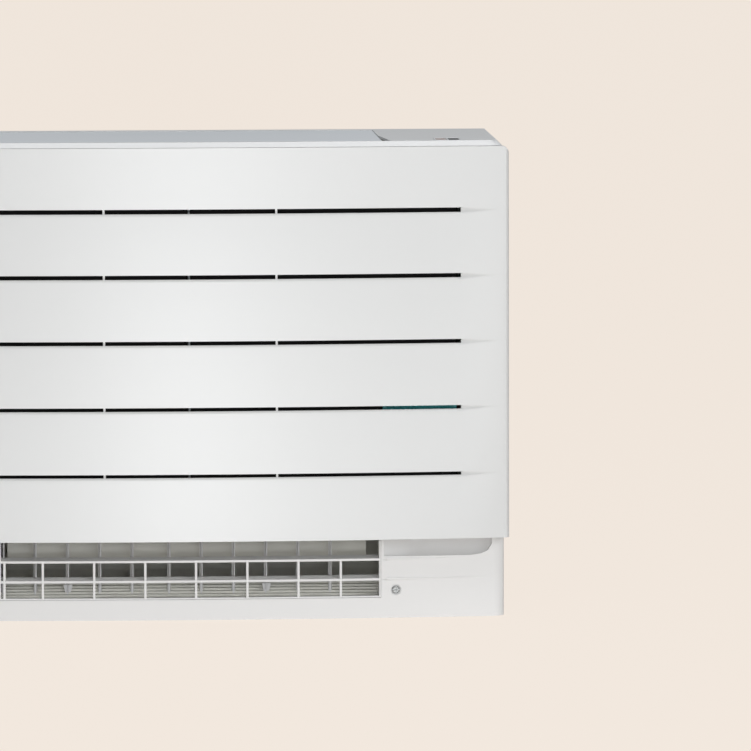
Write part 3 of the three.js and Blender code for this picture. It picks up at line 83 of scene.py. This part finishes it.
def node(tree, kind, settings=(), **links):
    """Adds a node. Settings are its attributes or input values. Links are sockets or values for its
    inputs, called by name, or by number as _0, _1 and _2."""
    made = tree.nodes.new(kind)
    for key, value in dict(settings).items():
        if hasattr(made, key):
            setattr(made, key, value)
        else:
            made.inputs[key].default_value = value
    for key, value in links.items():
        socket = made.inputs[int(key[1:])] if key[0] == "_" else made.inputs[key.replace("_", " ")]
        if isinstance(value, bpy.types.NodeSocket):
            tree.links.new(value, socket)
        else:
            socket.default_value = value
    return made


def new_material(name):
    """An empty node material: itself, its node tree, its Principled shader and its object place."""
    made = bpy.data.materials.new(name)
    made.use_nodes = True
    tree = made.node_tree
    return made, tree, tree.nodes["Principled BSDF"], node(tree, "ShaderNodeTexCoord").outputs["Object"]


print("helpers ready; a pale grey in linear light:", [round(v, 3) for v in linear("E3E4E4")[:3]])

# %% [markdown]
# Nothing real has one flat colour and one gloss. A slow noise in space drifts both a little, so that
# a large face seems made and not filled in. Painted wear would be wrong here, because the unit is new.

# %% Drifting colour and gloss
def drifting(tree, skin, noise, light, dark, rough, spread):
    """Lets a noise lead the colour from dark to light and the roughness across its spread."""
    colour = node(tree, "ShaderNodeValToRGB", Fac=noise)
    colour.color_ramp.elements[0].color = linear(dark)
    colour.color_ramp.elements[1].color = linear(light)
    gloss = node(tree, "ShaderNodeMapRange", {"To Min": rough - spread, "To Max": rough + spread},
                 Value=noise)
    tree.links.new(colour.outputs["Color"], skin.inputs["Base Color"])
    tree.links.new(gloss.outputs["Result"], skin.inputs["Roughness"])


print("drift ready")

# %% [markdown]
# Almost everything on this unit is injection-moulded plastic. A mould gives a part one even colour,
# a very slight waviness of gloss where the melt cooled, and a spark-eroded texture of a few tenths
# of a millimetre that breaks up reflections. One function pours those three things into a material:
# the drift above, with waves of about 330 mm, and a fine noise that feeds a bump. Grit of 0.3 mm is
# too fine for the picture, so it is drawn at about 0.9 mm.

# %% Moulded plastics
PLASTIC_IOR = 1.53
COOLING_WAVES = 3.0      # a metre
GRAIN_STRENGTH = 0.35


def moulded(name, light, dark, rough, spread=0.05, grit=0.9, depth=0.012, coat=0.0):
    """Moulded plastic with an eroded grain of grit mm that is depth mm deep."""
    made, tree, skin, place = new_material(name)
    waves = node(tree, "ShaderNodeTexNoise", {"Scale": COOLING_WAVES, "Detail": 0.0}, Vector=place)
    drifting(tree, skin, waves.outputs["Fac"], light, dark, rough, spread)
    grain = node(tree, "ShaderNodeTexNoise", {"Scale": 1.0 / (grit * MM), "Detail": 2.0}, Vector=place)
    bump = node(tree, "ShaderNodeBump", {"Strength": GRAIN_STRENGTH, "Distance": depth * MM},
                Height=grain.outputs["Fac"])
    tree.links.new(bump.outputs["Normal"], skin.inputs["Normal"])
    skin.inputs["IOR"].default_value = PLASTIC_IOR
    skin.inputs["Coat Weight"].default_value = coat
    return made


MATERIALS = {
    # The panel's mould is polished finest, so it alone shows a broad soft sheen.
    "panel_white": moulded("satin white ABS, panel", "E3E4E4", "E1E2E2", 0.28, spread=0.01),
    # The casing comes from a duller mould: the eye sees an even white with no sheen on it. It is the
    # panel's white plastic, but painted lighter than the panel, to put back light that its base loses
    # in the shade under the panel.
    "casing_white": moulded("satin white ABS, casing", "F1F1F1", "EEEEEE", 0.42),
    # The flap is painted paler and bluer than the deck round it. The blue is a painted reflection of
    # the cool ceiling that its top face mirrors.
    "flap_grey": moulded("matt pale ABS, flap, with a painted cool reflection", "F3F6FA", "EEF2F6", 0.46),
    # Thin blades and links look lighter than they are, so their white is painted lighter than the
    # casing's: painted light for the light they catch in the shaded outlet.
    "louvre_white": moulded("matt white polystyrene, louvres", "F4F4F5", "EEEEF0", 0.42),
    # The duct is a warmer, duller white, which makes the outlet look deep behind its white grille. That
    # white is painted lighter than the duct's grey plastic, to put back light that the shade in the
    # outlet takes away.
    "duct_grey": moulded("matt grey polystyrene, duct", "F4F3EB", "EDECE4", 0.60, grit=1.4, depth=0.03),
    # Beads of about 3 mm give the foam a dimpled face with no shine at all.
    "duct_foam": moulded("expanded polystyrene foam", "E4E2DD", "D6D3CD", 0.85, grit=3.2, depth=0.25),
    # Glass fibres dull the black of the fan and the window to a faint grey bloom.
    "black_plastic": moulded("black glass-filled polystyrene", "26272A", "1C1D20", 0.45, depth=0.03),
    # Its threads are too fine to show, so the net is an uneven, dull black cloth. The black is partly
    # the net's own and partly painted shade: the dark inside of the unit that shows through a real
    # net's mesh.
    "filter_dark": moulded("black filter net with painted shade", "1E1C1C", "161414", 0.75, grit=1.6, depth=0.3),
    # The cassette is the one strong colour, glimpsed through a slit. Its teal is painted bright, to put
    # back light that the shade behind the slit takes away.
    "purifier_teal": moulded("teal catalyst cassette", "62CCCF", "4FB9BD", 0.55),
    # A warm rose grey makes the button easy to find on the white deck.
    "button_beige": moulded("rose grey ABS, button", "C9B9B4", "C2B1AC", 0.42),
    # A clear lacquer lies over the green and gives the boards a thin wet gloss.
    "board_green": moulded("solder-masked circuit board", "1F5B3C", "184A30", 0.30, coat=0.3),
}
print("moulded materials:", len(MATERIALS))

# %% [markdown]
# The metals are few: bare aluminium fins, zinc-plated steel, drawn copper and turned brass. Their
# tint and gloss drift in small clouds instead of long waves, and a cloud that is squeezed along one
# axis becomes the fine lines of a rolled sheet. All of them keep the default IOR.

# %% Metals
METAL_SPREAD = 0.08


def metal(name, light, dark, rough, clouds, squeeze=(1, 1, 1)):
    """A bare or plated metal with so many clouds of tint and gloss to a metre."""
    made, tree, skin, place = new_material(name)
    squeezed = node(tree, "ShaderNodeMapping", {"Scale": squeeze}, Vector=place).outputs["Vector"]
    drift = node(tree, "ShaderNodeTexNoise", {"Scale": clouds, "Detail": 4.0}, Vector=squeezed)
    drifting(tree, skin, drift.outputs["Fac"], light, dark, rough, METAL_SPREAD)
    skin.inputs["Metallic"].default_value = 1.0
    return made


MATERIALS.update({
    # Zinc plating is dull and faintly clouded, so a screw head glints without a hard highlight.
    "zinc_steel": metal("zinc-plated steel", "C4C6C6", "AEB1B1", 0.48, 60.0),
    # Rolled sheet carries fine level lines, and edge on the fins look like brushed silver.
    "aluminium": metal("rolled aluminium fins", "D5D7DA", "B9BCC0", 0.38, 30.0, (1, 1, 24)),
    # Drawn tube is smooth and bright, darker in the slow patches where it was brazed.
    "copper": metal("drawn copper tube", "C98A66", "A8623F", 0.30, 25.0),
    # Turned brass is the glossiest of them and reads as warm yellow.
    "brass": metal("turned brass", "D8BE78", "BFA05A", 0.26, 35.0),
})
print("all materials:", len(MATERIALS))

# %% [markdown]
# Every node first gets the finish of its slot in the record, so that nothing is left unpainted. Only
# the material in the node's slot is changed, and its mesh is left as it came.

# %% Paint the frame
slot_of = {part["node"]: part["material_slot"] for part in frame["record"]["subparts"]}
bodies = frame["record"]["behaviour"]["bodies"]
body_of = {name: body for body, names in bodies.items() for name in names}
for name, obj in frame["nodes"].items():
    for slot in obj.material_slots:
        slot.material = MATERIALS[slot_of[name]]
print("painted nodes:", len(frame["nodes"]))

# %% [markdown]
# A CAD solid has knife-sharp edges, and no moulded part has. What the eye reads as plastic is the
# thin line of light along a rounded corner. A shader could fake that line, but the outline would stay
# sharp, so a bevel modifier rounds the edges themselves by a few tenths of a millimetre. The shading
# is then smoothed by angle, and large faces rule it, which keeps a bowed wall calm beside its small
# bevels.

# %% Soften edges
SHARP_EDGE = math.radians(38)
SMOOTH_UP_TO = math.radians(34)
LARGE_FACES_RULE = 80


def deselect_all():
    if bpy.context.object and bpy.context.object.mode != "OBJECT":
        bpy.ops.object.mode_set(mode="OBJECT")
    bpy.ops.object.select_all(action="DESELECT")


def soften(piece, radius, segments=2):
    """Rounds the edges of the selected piece by radius mm, or by nothing, and smooths its shading."""
    if radius:
        bevel = piece.modifiers.new("mould radius", "BEVEL")
        bevel.width = radius * MM
        bevel.segments = segments
        bevel.limit_method = "ANGLE"
        bevel.angle_limit = SHARP_EDGE
        bpy.ops.object.modifier_apply(modifier=bevel.name)
    bpy.ops.object.shade_smooth_by_angle(angle=SMOOTH_UP_TO)
    weigh = piece.modifiers.new("calm shading", "WEIGHTED_NORMAL")
    weigh.keep_sharp = True
    weigh.weight = LARGE_FACES_RULE
    bpy.ops.object.modifier_apply(modifier=weigh.name)


print("edges sharper than", round(math.degrees(SHARP_EDGE)), "degrees get rounded")

# %% [markdown]
# Each node that can be seen is copied. A CAD mesh is loose triangles, so the copy is welded into one
# skin and its coplanar triangles are merged before its edges are rounded. It then stands for the node.

# %% Round the nodes that show
WELD = 0.02 * MM
FLAT = math.radians(0.4)


def rounded(name, radius):
    """A copy of the node `name` with its edges rounded by radius mm, which replaces it."""
    deselect_all()
    source = frame["nodes"][name]
    source.select_set(True)
    bpy.context.view_layer.objects.active = source
    bpy.ops.object.duplicate()
    piece = bpy.context.object
    piece.name = name + ".moulded"
    piece.parent = None
    bpy.ops.object.mode_set(mode="EDIT")
    bpy.ops.mesh.select_all(action="SELECT")
    bpy.ops.mesh.remove_doubles(threshold=WELD)
    bpy.ops.mesh.dissolve_limited(angle_limit=FLAT)
    bpy.ops.object.mode_set(mode="OBJECT")
    soften(piece, radius)
    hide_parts(name)
    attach(piece, body_of[name])
    return piece


ROUNDING = {
    "front_panel": 0.5, "front_casing": 0.6, "rear_case": 0.6, "outlet_grille": 0.5,
    "lower_duct": 0.4, "lower_shutter": 0.4, "upper_duct": 0.6, "upper_flap": 0.7,
    "display_bezel": 0.3, "push_button": 0.35, "receiver_window": 0.3,
    "purifier_left": 0.5, "purifier_right": 0.5,
    "louvre_link_left": 0.3, "louvre_link_right": 0.3, "upper_blade_link": 0.3,
}
for name in frame["nodes"]:
    if name.startswith("upper_blade_") and "link" not in name:
        ROUNDING[name] = 0.35
pieces = {name: rounded(name, radius) for name, radius in ROUNDING.items()}
print("rounded nodes:", len(pieces), "faces:", sum(len(p.data.polygons) for p in pieces.values()))

# %% [markdown]
# The small pieces are modelled by hand. Each starts as a primitive that is opened for editing, is cut,
# inset and extruded into shape at its true place, and ends with softened edges. Four helpers keep
# those steps short: one begins a piece, one gives a primitive its size and place, one picks faces,
# edges or corners by a rule, and one finishes the piece.

# %% Helpers for new pieces
def begin(primitive, name, **settings):
    """Adds a primitive, names it and opens it for editing with all of it selected."""
    deselect_all()
    getattr(bpy.ops.mesh, primitive)(**settings)
    piece = bpy.context.object
    piece.name = name
    bpy.ops.object.transform_apply(location=True, rotation=True, scale=True)
    bpy.ops.object.mode_set(mode="EDIT")
    bpy.ops.mesh.select_mode(type="FACE")
    bpy.ops.mesh.select_all(action="SELECT")
    return piece


def begin_block(name, size, middle):
    """Begins a piece as a block of a size in mm round its middle in mm."""
    piece = begin("primitive_cube_add", name, size=1)
    bpy.ops.transform.resize(value=[v * MM for v in size])
    bpy.ops.transform.translate(value=[v * MM for v in middle])
    return piece


def pick(piece, rule, kind="faces"):
    """Selects only those faces, edges or verts whose middle, in mm, obeys the rule."""
    bpy.ops.mesh.select_mode(type={"faces": "FACE", "edges": "EDGE", "verts": "VERT"}[kind])
    bpy.ops.mesh.select_all(action="DESELECT")
    shape = bmesh.from_edit_mesh(piece.data)
    for part in getattr(shape, kind):
        corners = [part.co] if kind == "verts" else [corner.co for corner in part.verts]
        if rule(sum(corners, Vector()) / len(corners) / MM):
            part.select_set(True)
    shape.select_flush_mode()
    bmesh.update_edit_mesh(piece.data)


def complete(piece, body, slot, radius=0.0, segments=2, replaced=()):
    """Softens a piece by radius mm, gives it its finish and hangs it on a body."""
    bpy.ops.object.mode_set(mode="OBJECT")
    soften(piece, radius, segments)
    piece.data.materials.clear()
    piece.data.materials.append(MATERIALS[slot])
    for name in replaced:
        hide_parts(name)
    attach(piece, body)
    return piece


def same(a, b):
    """Whether two places in mm are one and the same."""
    return abs(a - b) < 0.01


SIDES = {"left": -1, "right": 1}
print("modelling helpers ready")

# %% [markdown]
# Behind the slits hang two black filters. Their frames come from the model, and the nets are new. A
# net could be made thread by thread, but through a slit only its darkness shows, and much of that is
# painted shade: the dark inside of the unit that a real mesh lets through. So each net is a solid
# black sheet of three by four windows that are inset and sunk, so that it sits in the frame's recess,
# and that is then given the thickness of a woven cloth.

# %% Filter nets
NET_X = (5.0, 312.5)
NET_Z = (131.5, 528.5)
NET_Y = -66.9
NET_WINDOWS = (3, 4)
WINDOW_RIM = 1.6
WINDOW_SINK = 0.3
WINDOW_CUTS = 5
CLOTH = 0.3


def filter_net(name, sign):
    net = begin("primitive_grid_add", name, x_subdivisions=NET_WINDOWS[0],
                y_subdivisions=NET_WINDOWS[1], size=1, rotation=(math.radians(90), 0, 0))
    bpy.ops.transform.resize(value=((NET_X[1] - NET_X[0]) * MM, 1, (NET_Z[1] - NET_Z[0]) * MM))
    bpy.ops.transform.translate(value=(sign * sum(NET_X) / 2 * MM, NET_Y * MM, sum(NET_Z) / 2 * MM))
    bpy.ops.mesh.inset(thickness=WINDOW_RIM * MM, depth=-WINDOW_SINK * MM, use_individual=True)
    bpy.ops.mesh.subdivide(number_cuts=WINDOW_CUTS)
    bpy.ops.object.mode_set(mode="OBJECT")
    cloth = net.modifiers.new("cloth", "SOLIDIFY")
    cloth.thickness = CLOTH * MM
    cloth.offset = 0
    bpy.ops.object.modifier_apply(modifier=cloth.name)
    return complete(net, "cabinet", "filter_dark")


nets = [filter_net(f"filter_net_{side}", sign) for side, sign in SIDES.items()]
print("net faces:", [len(net.data.polygons) for net in nets])

# %% [markdown]
# Two sheet-metal screws hold the casing, one at each side of the outlet. A boolean could cut the
# driver's cross, but it leaves ragged faces round a head as small as this. Here a square grid of nine
# by nine cells becomes the head: its rim is drawn into a circle, the cells of a cross are pushed in
# and narrowed, and the rim is pulled back in three steps for the rounded shoulder.

# %% Cross-head screws
SCREW_AT = (242.0, 33.0)
SCREW_FACE = -84.3
SCREW_R = 4.6
HEAD_CELLS = 9
CROSS_DEEP = 2.0
CROSS_TAPER = 0.55
SHOULDER = ((1.07, 0.35), (1.03, 0.75), (1.0, 1.3))      # how much wider, and how far back in mm


def cross_screw(name, sign):
    half = 0.8 * SCREW_R
    cell = 2 * half / HEAD_CELLS
    middle = (0, 0, 0)
    screw = begin("primitive_grid_add", name + ".cross", x_subdivisions=HEAD_CELLS,
                  y_subdivisions=HEAD_CELLS, size=2 * half * MM, rotation=(math.radians(90), 0, 0))
    rim = half - 0.1
    pick(screw, lambda at: max(abs(at.x), abs(at.z)) > rim, "verts")
    bpy.ops.transform.tosphere(value=1.0, center_override=middle)
    pick(screw, lambda at: min(abs(at.x), abs(at.z)) < 0.5 * cell
         and max(abs(at.x), abs(at.z)) < 2.5 * cell)
    bpy.ops.mesh.extrude_region_move(TRANSFORM_OT_translate={"value": (0, CROSS_DEEP * MM, 0)})
    bpy.ops.transform.resize(value=(CROSS_TAPER, 1, CROSS_TAPER), center_override=middle)
    pick(screw, lambda at: math.hypot(at.x, at.z) > rim and same(at.y, 0), "edges")
    for wide, back in SHOULDER:
        bpy.ops.mesh.extrude_region_move(TRANSFORM_OT_translate={"value": (0, back * MM, 0)})
        bpy.ops.transform.resize(value=(wide, 1, wide), center_override=middle)
    bpy.ops.mesh.select_all(action="SELECT")
    bpy.ops.mesh.normals_make_consistent(inside=False)
    bpy.ops.transform.translate(value=(sign * SCREW_AT[0] * MM, SCREW_FACE * MM, SCREW_AT[1] * MM))
    return complete(screw, "cabinet", "zinc_steel", replaced=[name])


for side, sign in SIDES.items():
    screw = cross_screw(f"casing_screw_{side}", sign)
    print(screw.name, "mm:", [round(v / MM, 1) for v in screw.dimensions])

# %% [markdown]
# Eleven blades stand in the lower outlet and steer the air to the sides. A bevel alone would leave
# them as flat as a ruler, while a moulded blade is thickest behind its blunt nose and thins out to the
# rear. So a block is cut into five strips, and the seams near its ends are narrowed. Its lower corners
# are rounded off. A thick pin lets the blade turn, and a thin one lets the link bar push it.

# %% Blades of the lower outlet
BLADE_Y = (-60.0, -16.0)
BLADE_Z = (44.0, 94.0)
BLADE_THICK = 1.5
BLADE_CUTS = (0.10, 0.30, 0.75, 0.93)      # shares of the blade's length from its nose
BLADE_WIDTHS = {0.0: 0.45, 0.10: 0.8, 0.93: 0.6, 1.0: 0.3}
BLADE_CORNERS = (5.0, 3.0)                 # radii of the lower corners, at the nose and at the rear
PIVOT = (-38.0, 2.0, 25.0, 100.0)          # y, radius, lower end and upper end
LINK_PIN = (-24.0, 1.6, 37.0, 52.0)


def add_pin(x, y, radius, low, high):
    """A round pin from low to high, in the mesh that is being edited."""
    bpy.ops.mesh.select_all(action="DESELECT")
    bpy.ops.mesh.primitive_cylinder_add(vertices=16, radius=radius * MM, depth=(high - low) * MM,
                                        location=(x * MM, y * MM, (low + high) / 2 * MM))


def guide_blade(name, x):
    """One blade in the plane x, with its nose and its pins."""
    nose, rear = BLADE_Y
    low, high = BLADE_Z
    long = rear - nose
    blade = begin_block(name + ".blade", (BLADE_THICK, long, high - low),
                        (x, (nose + rear) / 2, (low + high) / 2))
    for share in BLADE_CUTS:
        bpy.ops.mesh.select_all(action="SELECT")
        bpy.ops.mesh.bisect(plane_co=(0, (nose + share * long) * MM, 0), plane_no=(0, 1, 0))
    for share, width in BLADE_WIDTHS.items():
        seam = nose + share * long
        pick(blade, lambda at: same(at.y, seam), "verts")
        bpy.ops.transform.resize(value=(width, 1, 1), center_override=(x * MM, 0, 0))
    for end, radius in zip(BLADE_Y, BLADE_CORNERS):
        pick(blade, lambda at: same(at.y, end) and same(at.z, low), "edges")
        bpy.ops.mesh.bevel(offset=radius * MM, segments=4, affect="EDGES")
    add_pin(x, *PIVOT)
    add_pin(x, *LINK_PIN)
    return complete(blade, name, "louvre_white", radius=0.2, replaced=[name])


blade_x = {}
for name, obj in frame["nodes"].items():
    if name.startswith(("louvre_left", "louvre_right")):
        across = [(obj.matrix_world @ Vector(corner)).x for corner in obj.bound_box]
        blade_x[name] = (min(across) + max(across)) / 2 / MM
        guide_blade(name, blade_x[name])
print("blades at x, mm:", {name: round(x, 1) for name, x in blade_x.items()})

# %% [markdown]
# Two of the blades carry a star-shaped finger knob under the nose, by which a hand can set the whole
# gang. The star could be a drawn outline that is extruded. Pulling it out of a rod is quicker, and
# keeps its faces tidy: a ten-sided rod is the core, every other side is drawn out into a fin, and the
# lower end is drawn in, so that the star opens upwards.

# %% Finger knobs
FINGER_BLADES = ("louvre_left_3", "louvre_right_4")
KNOB_Y = -54.0
KNOB_Z = (30.0, 39.0)
KNOB_CORE = 1.6
KNOB_SIDES = 10
FIN_LONG = 4.2
FIN_TAPER = 0.75
KNOB_TAPER = 0.62


def finger_knob(name, x):
    low, high = KNOB_Z
    middle = Vector((x, KNOB_Y, (low + high) / 2))
    half_side = math.radians(180 / KNOB_SIDES)
    knob = begin("primitive_cylinder_add", name + ".finger_knob", vertices=KNOB_SIDES,
                 radius=KNOB_CORE * MM, depth=(high - low) * MM,
                 location=(x * MM, KNOB_Y * MM, (low + high) / 2 * MM), rotation=(0, 0, half_side))
    for fin in range(KNOB_SIDES // 2):
        turn = 4 * half_side * fin
        way = Vector((math.sin(turn), -math.cos(turn), 0))
        side = middle + way * KNOB_CORE * math.cos(half_side)
        pick(knob, lambda at: (at - side).length < 0.3)
        bpy.ops.mesh.extrude_region_move(TRANSFORM_OT_translate={"value": way * FIN_LONG * MM})
        bpy.ops.transform.resize(value=(FIN_TAPER, FIN_TAPER, 1),
                                 center_override=(side + way * FIN_LONG) * MM)
    pick(knob, lambda at: at.z < low + 0.1, "verts")
    bpy.ops.transform.resize(value=(KNOB_TAPER, KNOB_TAPER, 1),
                             center_override=Vector((x, KNOB_Y, low)) * MM)
    return complete(knob, name, "louvre_white", radius=0.3)


knobs = [finger_knob(name, blade_x[name]) for name in FINGER_BLADES]
print("finger knobs mm:", [[round(v / MM, 1) for v in knob.dimensions] for knob in knobs])

# %% [markdown]
# The two bars of the grille run on as soft ribs across the casing and fade out towards its side. A
# curve modifier could bend a rib round the wall, but the wall follows a simple formula, and moving
# each station of the rib by that formula is exact. So a rib is a long block cut into twelve
# stretches. Each station is moved onto the bowed wall, stands out a little less than the one before,
# and is lower.

# %% Ribs on the casing
RIBS = {"upper": (69.6, 312.0), "lower": (46.1, 350.0)}      # height, and where the rib ends
RIB_NEAR = 231.0
RIB_HIGH = 2.8
RIB_DEEP = 2.4
RIB_PROUD = 0.95
RIB_TIP = 0.3            # share of its height that is left at the tip
STRETCHES = 12
WALL_FRONT, WALL_BULGE, WALL_HALF = 92, 20, 375


def casing_front(x):
    """Where the casing's bowed wall stands at x, in mm."""
    return -WALL_FRONT + WALL_BULGE * (x / WALL_HALF) ** 2


def casing_rib(name, sign, height, far):
    long = far - RIB_NEAR
    rib = begin_block(name, (long, RIB_DEEP, RIB_HIGH), (sign * (RIB_NEAR + far) / 2, 0, height))
    stations = [RIB_NEAR + long * k / STRETCHES for k in range(STRETCHES + 1)]
    for x in stations[1:-1]:
        bpy.ops.mesh.select_all(action="SELECT")
        bpy.ops.mesh.bisect(plane_co=(sign * x * MM, 0, 0), plane_no=(1, 0, 0))
    for x in stations:
        fade = (far - x) / long
        pick(rib, lambda at: same(abs(at.x), x), "verts")
        bpy.ops.transform.resize(value=(1, 1, RIB_TIP + (1 - RIB_TIP) * fade),
                                 center_override=(0, 0, height * MM))
        back = casing_front(x) + RIB_DEEP / 2 - RIB_PROUD * fade
        bpy.ops.transform.translate(value=(0, back * MM, 0))
    return complete(rib, "cabinet", "casing_white", radius=0.35, segments=3)


for side, sign in SIDES.items():
    for level, (height, far) in RIBS.items():
        rib = casing_rib(f"casing_rib_{level}_{side}", sign, height, far)
        print(rib.name, "mm:", [round(v / MM, 1) for v in rib.dimensions])

# %% [markdown]
# At the two upper rear corners the back plate stops short of the casing's chamfer. A small cap of the
# same plastic fills each corner: a block whose outer upper edge is cut to the slope of the chamfer.

# %% Rear corner caps
CAP_X = (353.9, 367.4)
CAP_Y = (116.0, 118.9)
CAP_Z = (551.9, 558.4)
CAP_SLOPE = 6.2


def corner_cap(name, sign):
    size = [high - low for low, high in (CAP_X, CAP_Y, CAP_Z)]
    cap = begin_block(name, size, (sign * sum(CAP_X) / 2, sum(CAP_Y) / 2, sum(CAP_Z) / 2))
    pick(cap, lambda at: same(abs(at.x), CAP_X[1]) and same(at.z, CAP_Z[1]), "edges")
    bpy.ops.mesh.bevel(offset=CAP_SLOPE * MM, segments=1, affect="EDGES")
    return complete(cap, "cabinet", slot_of["rear_case"], radius=0.3)


caps = [corner_cap(f"corner_cap_{side}", sign) for side, sign in SIDES.items()]
print("corner caps mm:", [round(v / MM, 1) for v in caps[0].dimensions])

# %% [markdown]
# The studio is a pale, warm sheet of paper, so large that no edge of it shows. Lit paper would never
# come out even, so the camera sees mostly a glow of the paper's own colour. The small share that is
# real paper still takes the unit's shadow. The glow lights nothing, because only the camera sees it.

# %% Floor and backdrop
PAPER = "F0E6DC"
PAPER_ROUGH = 0.9
FIBRES = 300.0           # a metre, coarser than the real ones
GLOW_SHARE = 0.94
GLOW = 1.04


def studio_paper(name):
    made, tree, skin, place = new_material(name)
    fibre = node(tree, "ShaderNodeTexNoise", {"Scale": FIBRES, "Detail": 3.0}, Vector=place)
    bump = node(tree, "ShaderNodeBump", {"Strength": 0.05, "Distance": 0.2 * MM},
                Height=fibre.outputs["Fac"])
    tree.links.new(bump.outputs["Normal"], skin.inputs["Normal"])
    skin.inputs["Base Color"].default_value = linear(PAPER)
    skin.inputs["Roughness"].default_value = PAPER_ROUGH
    seen = node(tree, "ShaderNodeLightPath").outputs["Is Camera Ray"]
    share = node(tree, "ShaderNodeMath", {"operation": "MULTIPLY"}, _0=seen, _1=GLOW_SHARE).outputs[0]
    glow = node(tree, "ShaderNodeEmission", {"Color": linear(PAPER), "Strength": GLOW}).outputs[0]
    mix = node(tree, "ShaderNodeMixShader", _0=share, _1=skin.outputs[0], _2=glow)
    tree.links.new(mix.outputs[0], tree.nodes["Material Output"].inputs["Surface"])
    return made


deselect_all()
bpy.ops.mesh.primitive_plane_add(size=60, location=(0, 10, 0))
floor = bpy.context.object
floor.name = "paper_floor"
floor.data.materials.append(studio_paper("warm studio paper"))
print("floor, m:", [round(v, 1) for v in floor.dimensions])

# %% [markdown]
# The light is an even room and four soft boxes. A picture of a real room could light it too, but a
# plain world and lamps need no file and are easy to balance. The box in front stands low and gives
# the bowed panel its broad sheen in the middle. One at the right fills the far side, one overhead
# lights the deck, and a low strip reaches into the outlet. All are a little cool, because the panel
# is a neutral white and the paper sends some of its warmth back.

# %% Light
COOL = (0.965, 0.985, 1.0)
ROOM = 0.305
SOFT_BOXES = {      # place, aim, size in metres, and watts
    "front_soft_box": ((0.16, -4.2, 0.30), (0, 0, 0.28), (0.5, 1.3), 27),
    "right_fill": ((2.6, -3.2, 1.5), (0, 0, 0.3), (1.6, 1.6), 38),
    "overhead": ((0.3, -1.1, 3.1), (0, 0, 0.4), (2.4, 1.2), 26),
    "low_front": ((0.1, -2.6, 0.15), (0, 0, 0.08), (1.8, 0.25), 8),
}
world = bpy.data.worlds.new("studio_room")
bpy.context.scene.world = world
world.use_nodes = True
world.node_tree.nodes["Background"].inputs["Color"].default_value = (*COOL, 1.0)
world.node_tree.nodes["Background"].inputs["Strength"].default_value = ROOM
for name, (place, aim, size, watts) in SOFT_BOXES.items():
    bpy.ops.object.light_add(type="AREA", location=place)
    lamp = bpy.context.object
    lamp.name = name
    lamp.data.shape = "RECTANGLE"
    lamp.data.size, lamp.data.size_y = size
    lamp.data.energy = watts
    lamp.data.color = COOL
    lamp.rotation_euler = (Vector(aim) - Vector(place)).to_track_quat("-Z", "Y").to_euler()
print("lamps:", list(SOFT_BOXES))
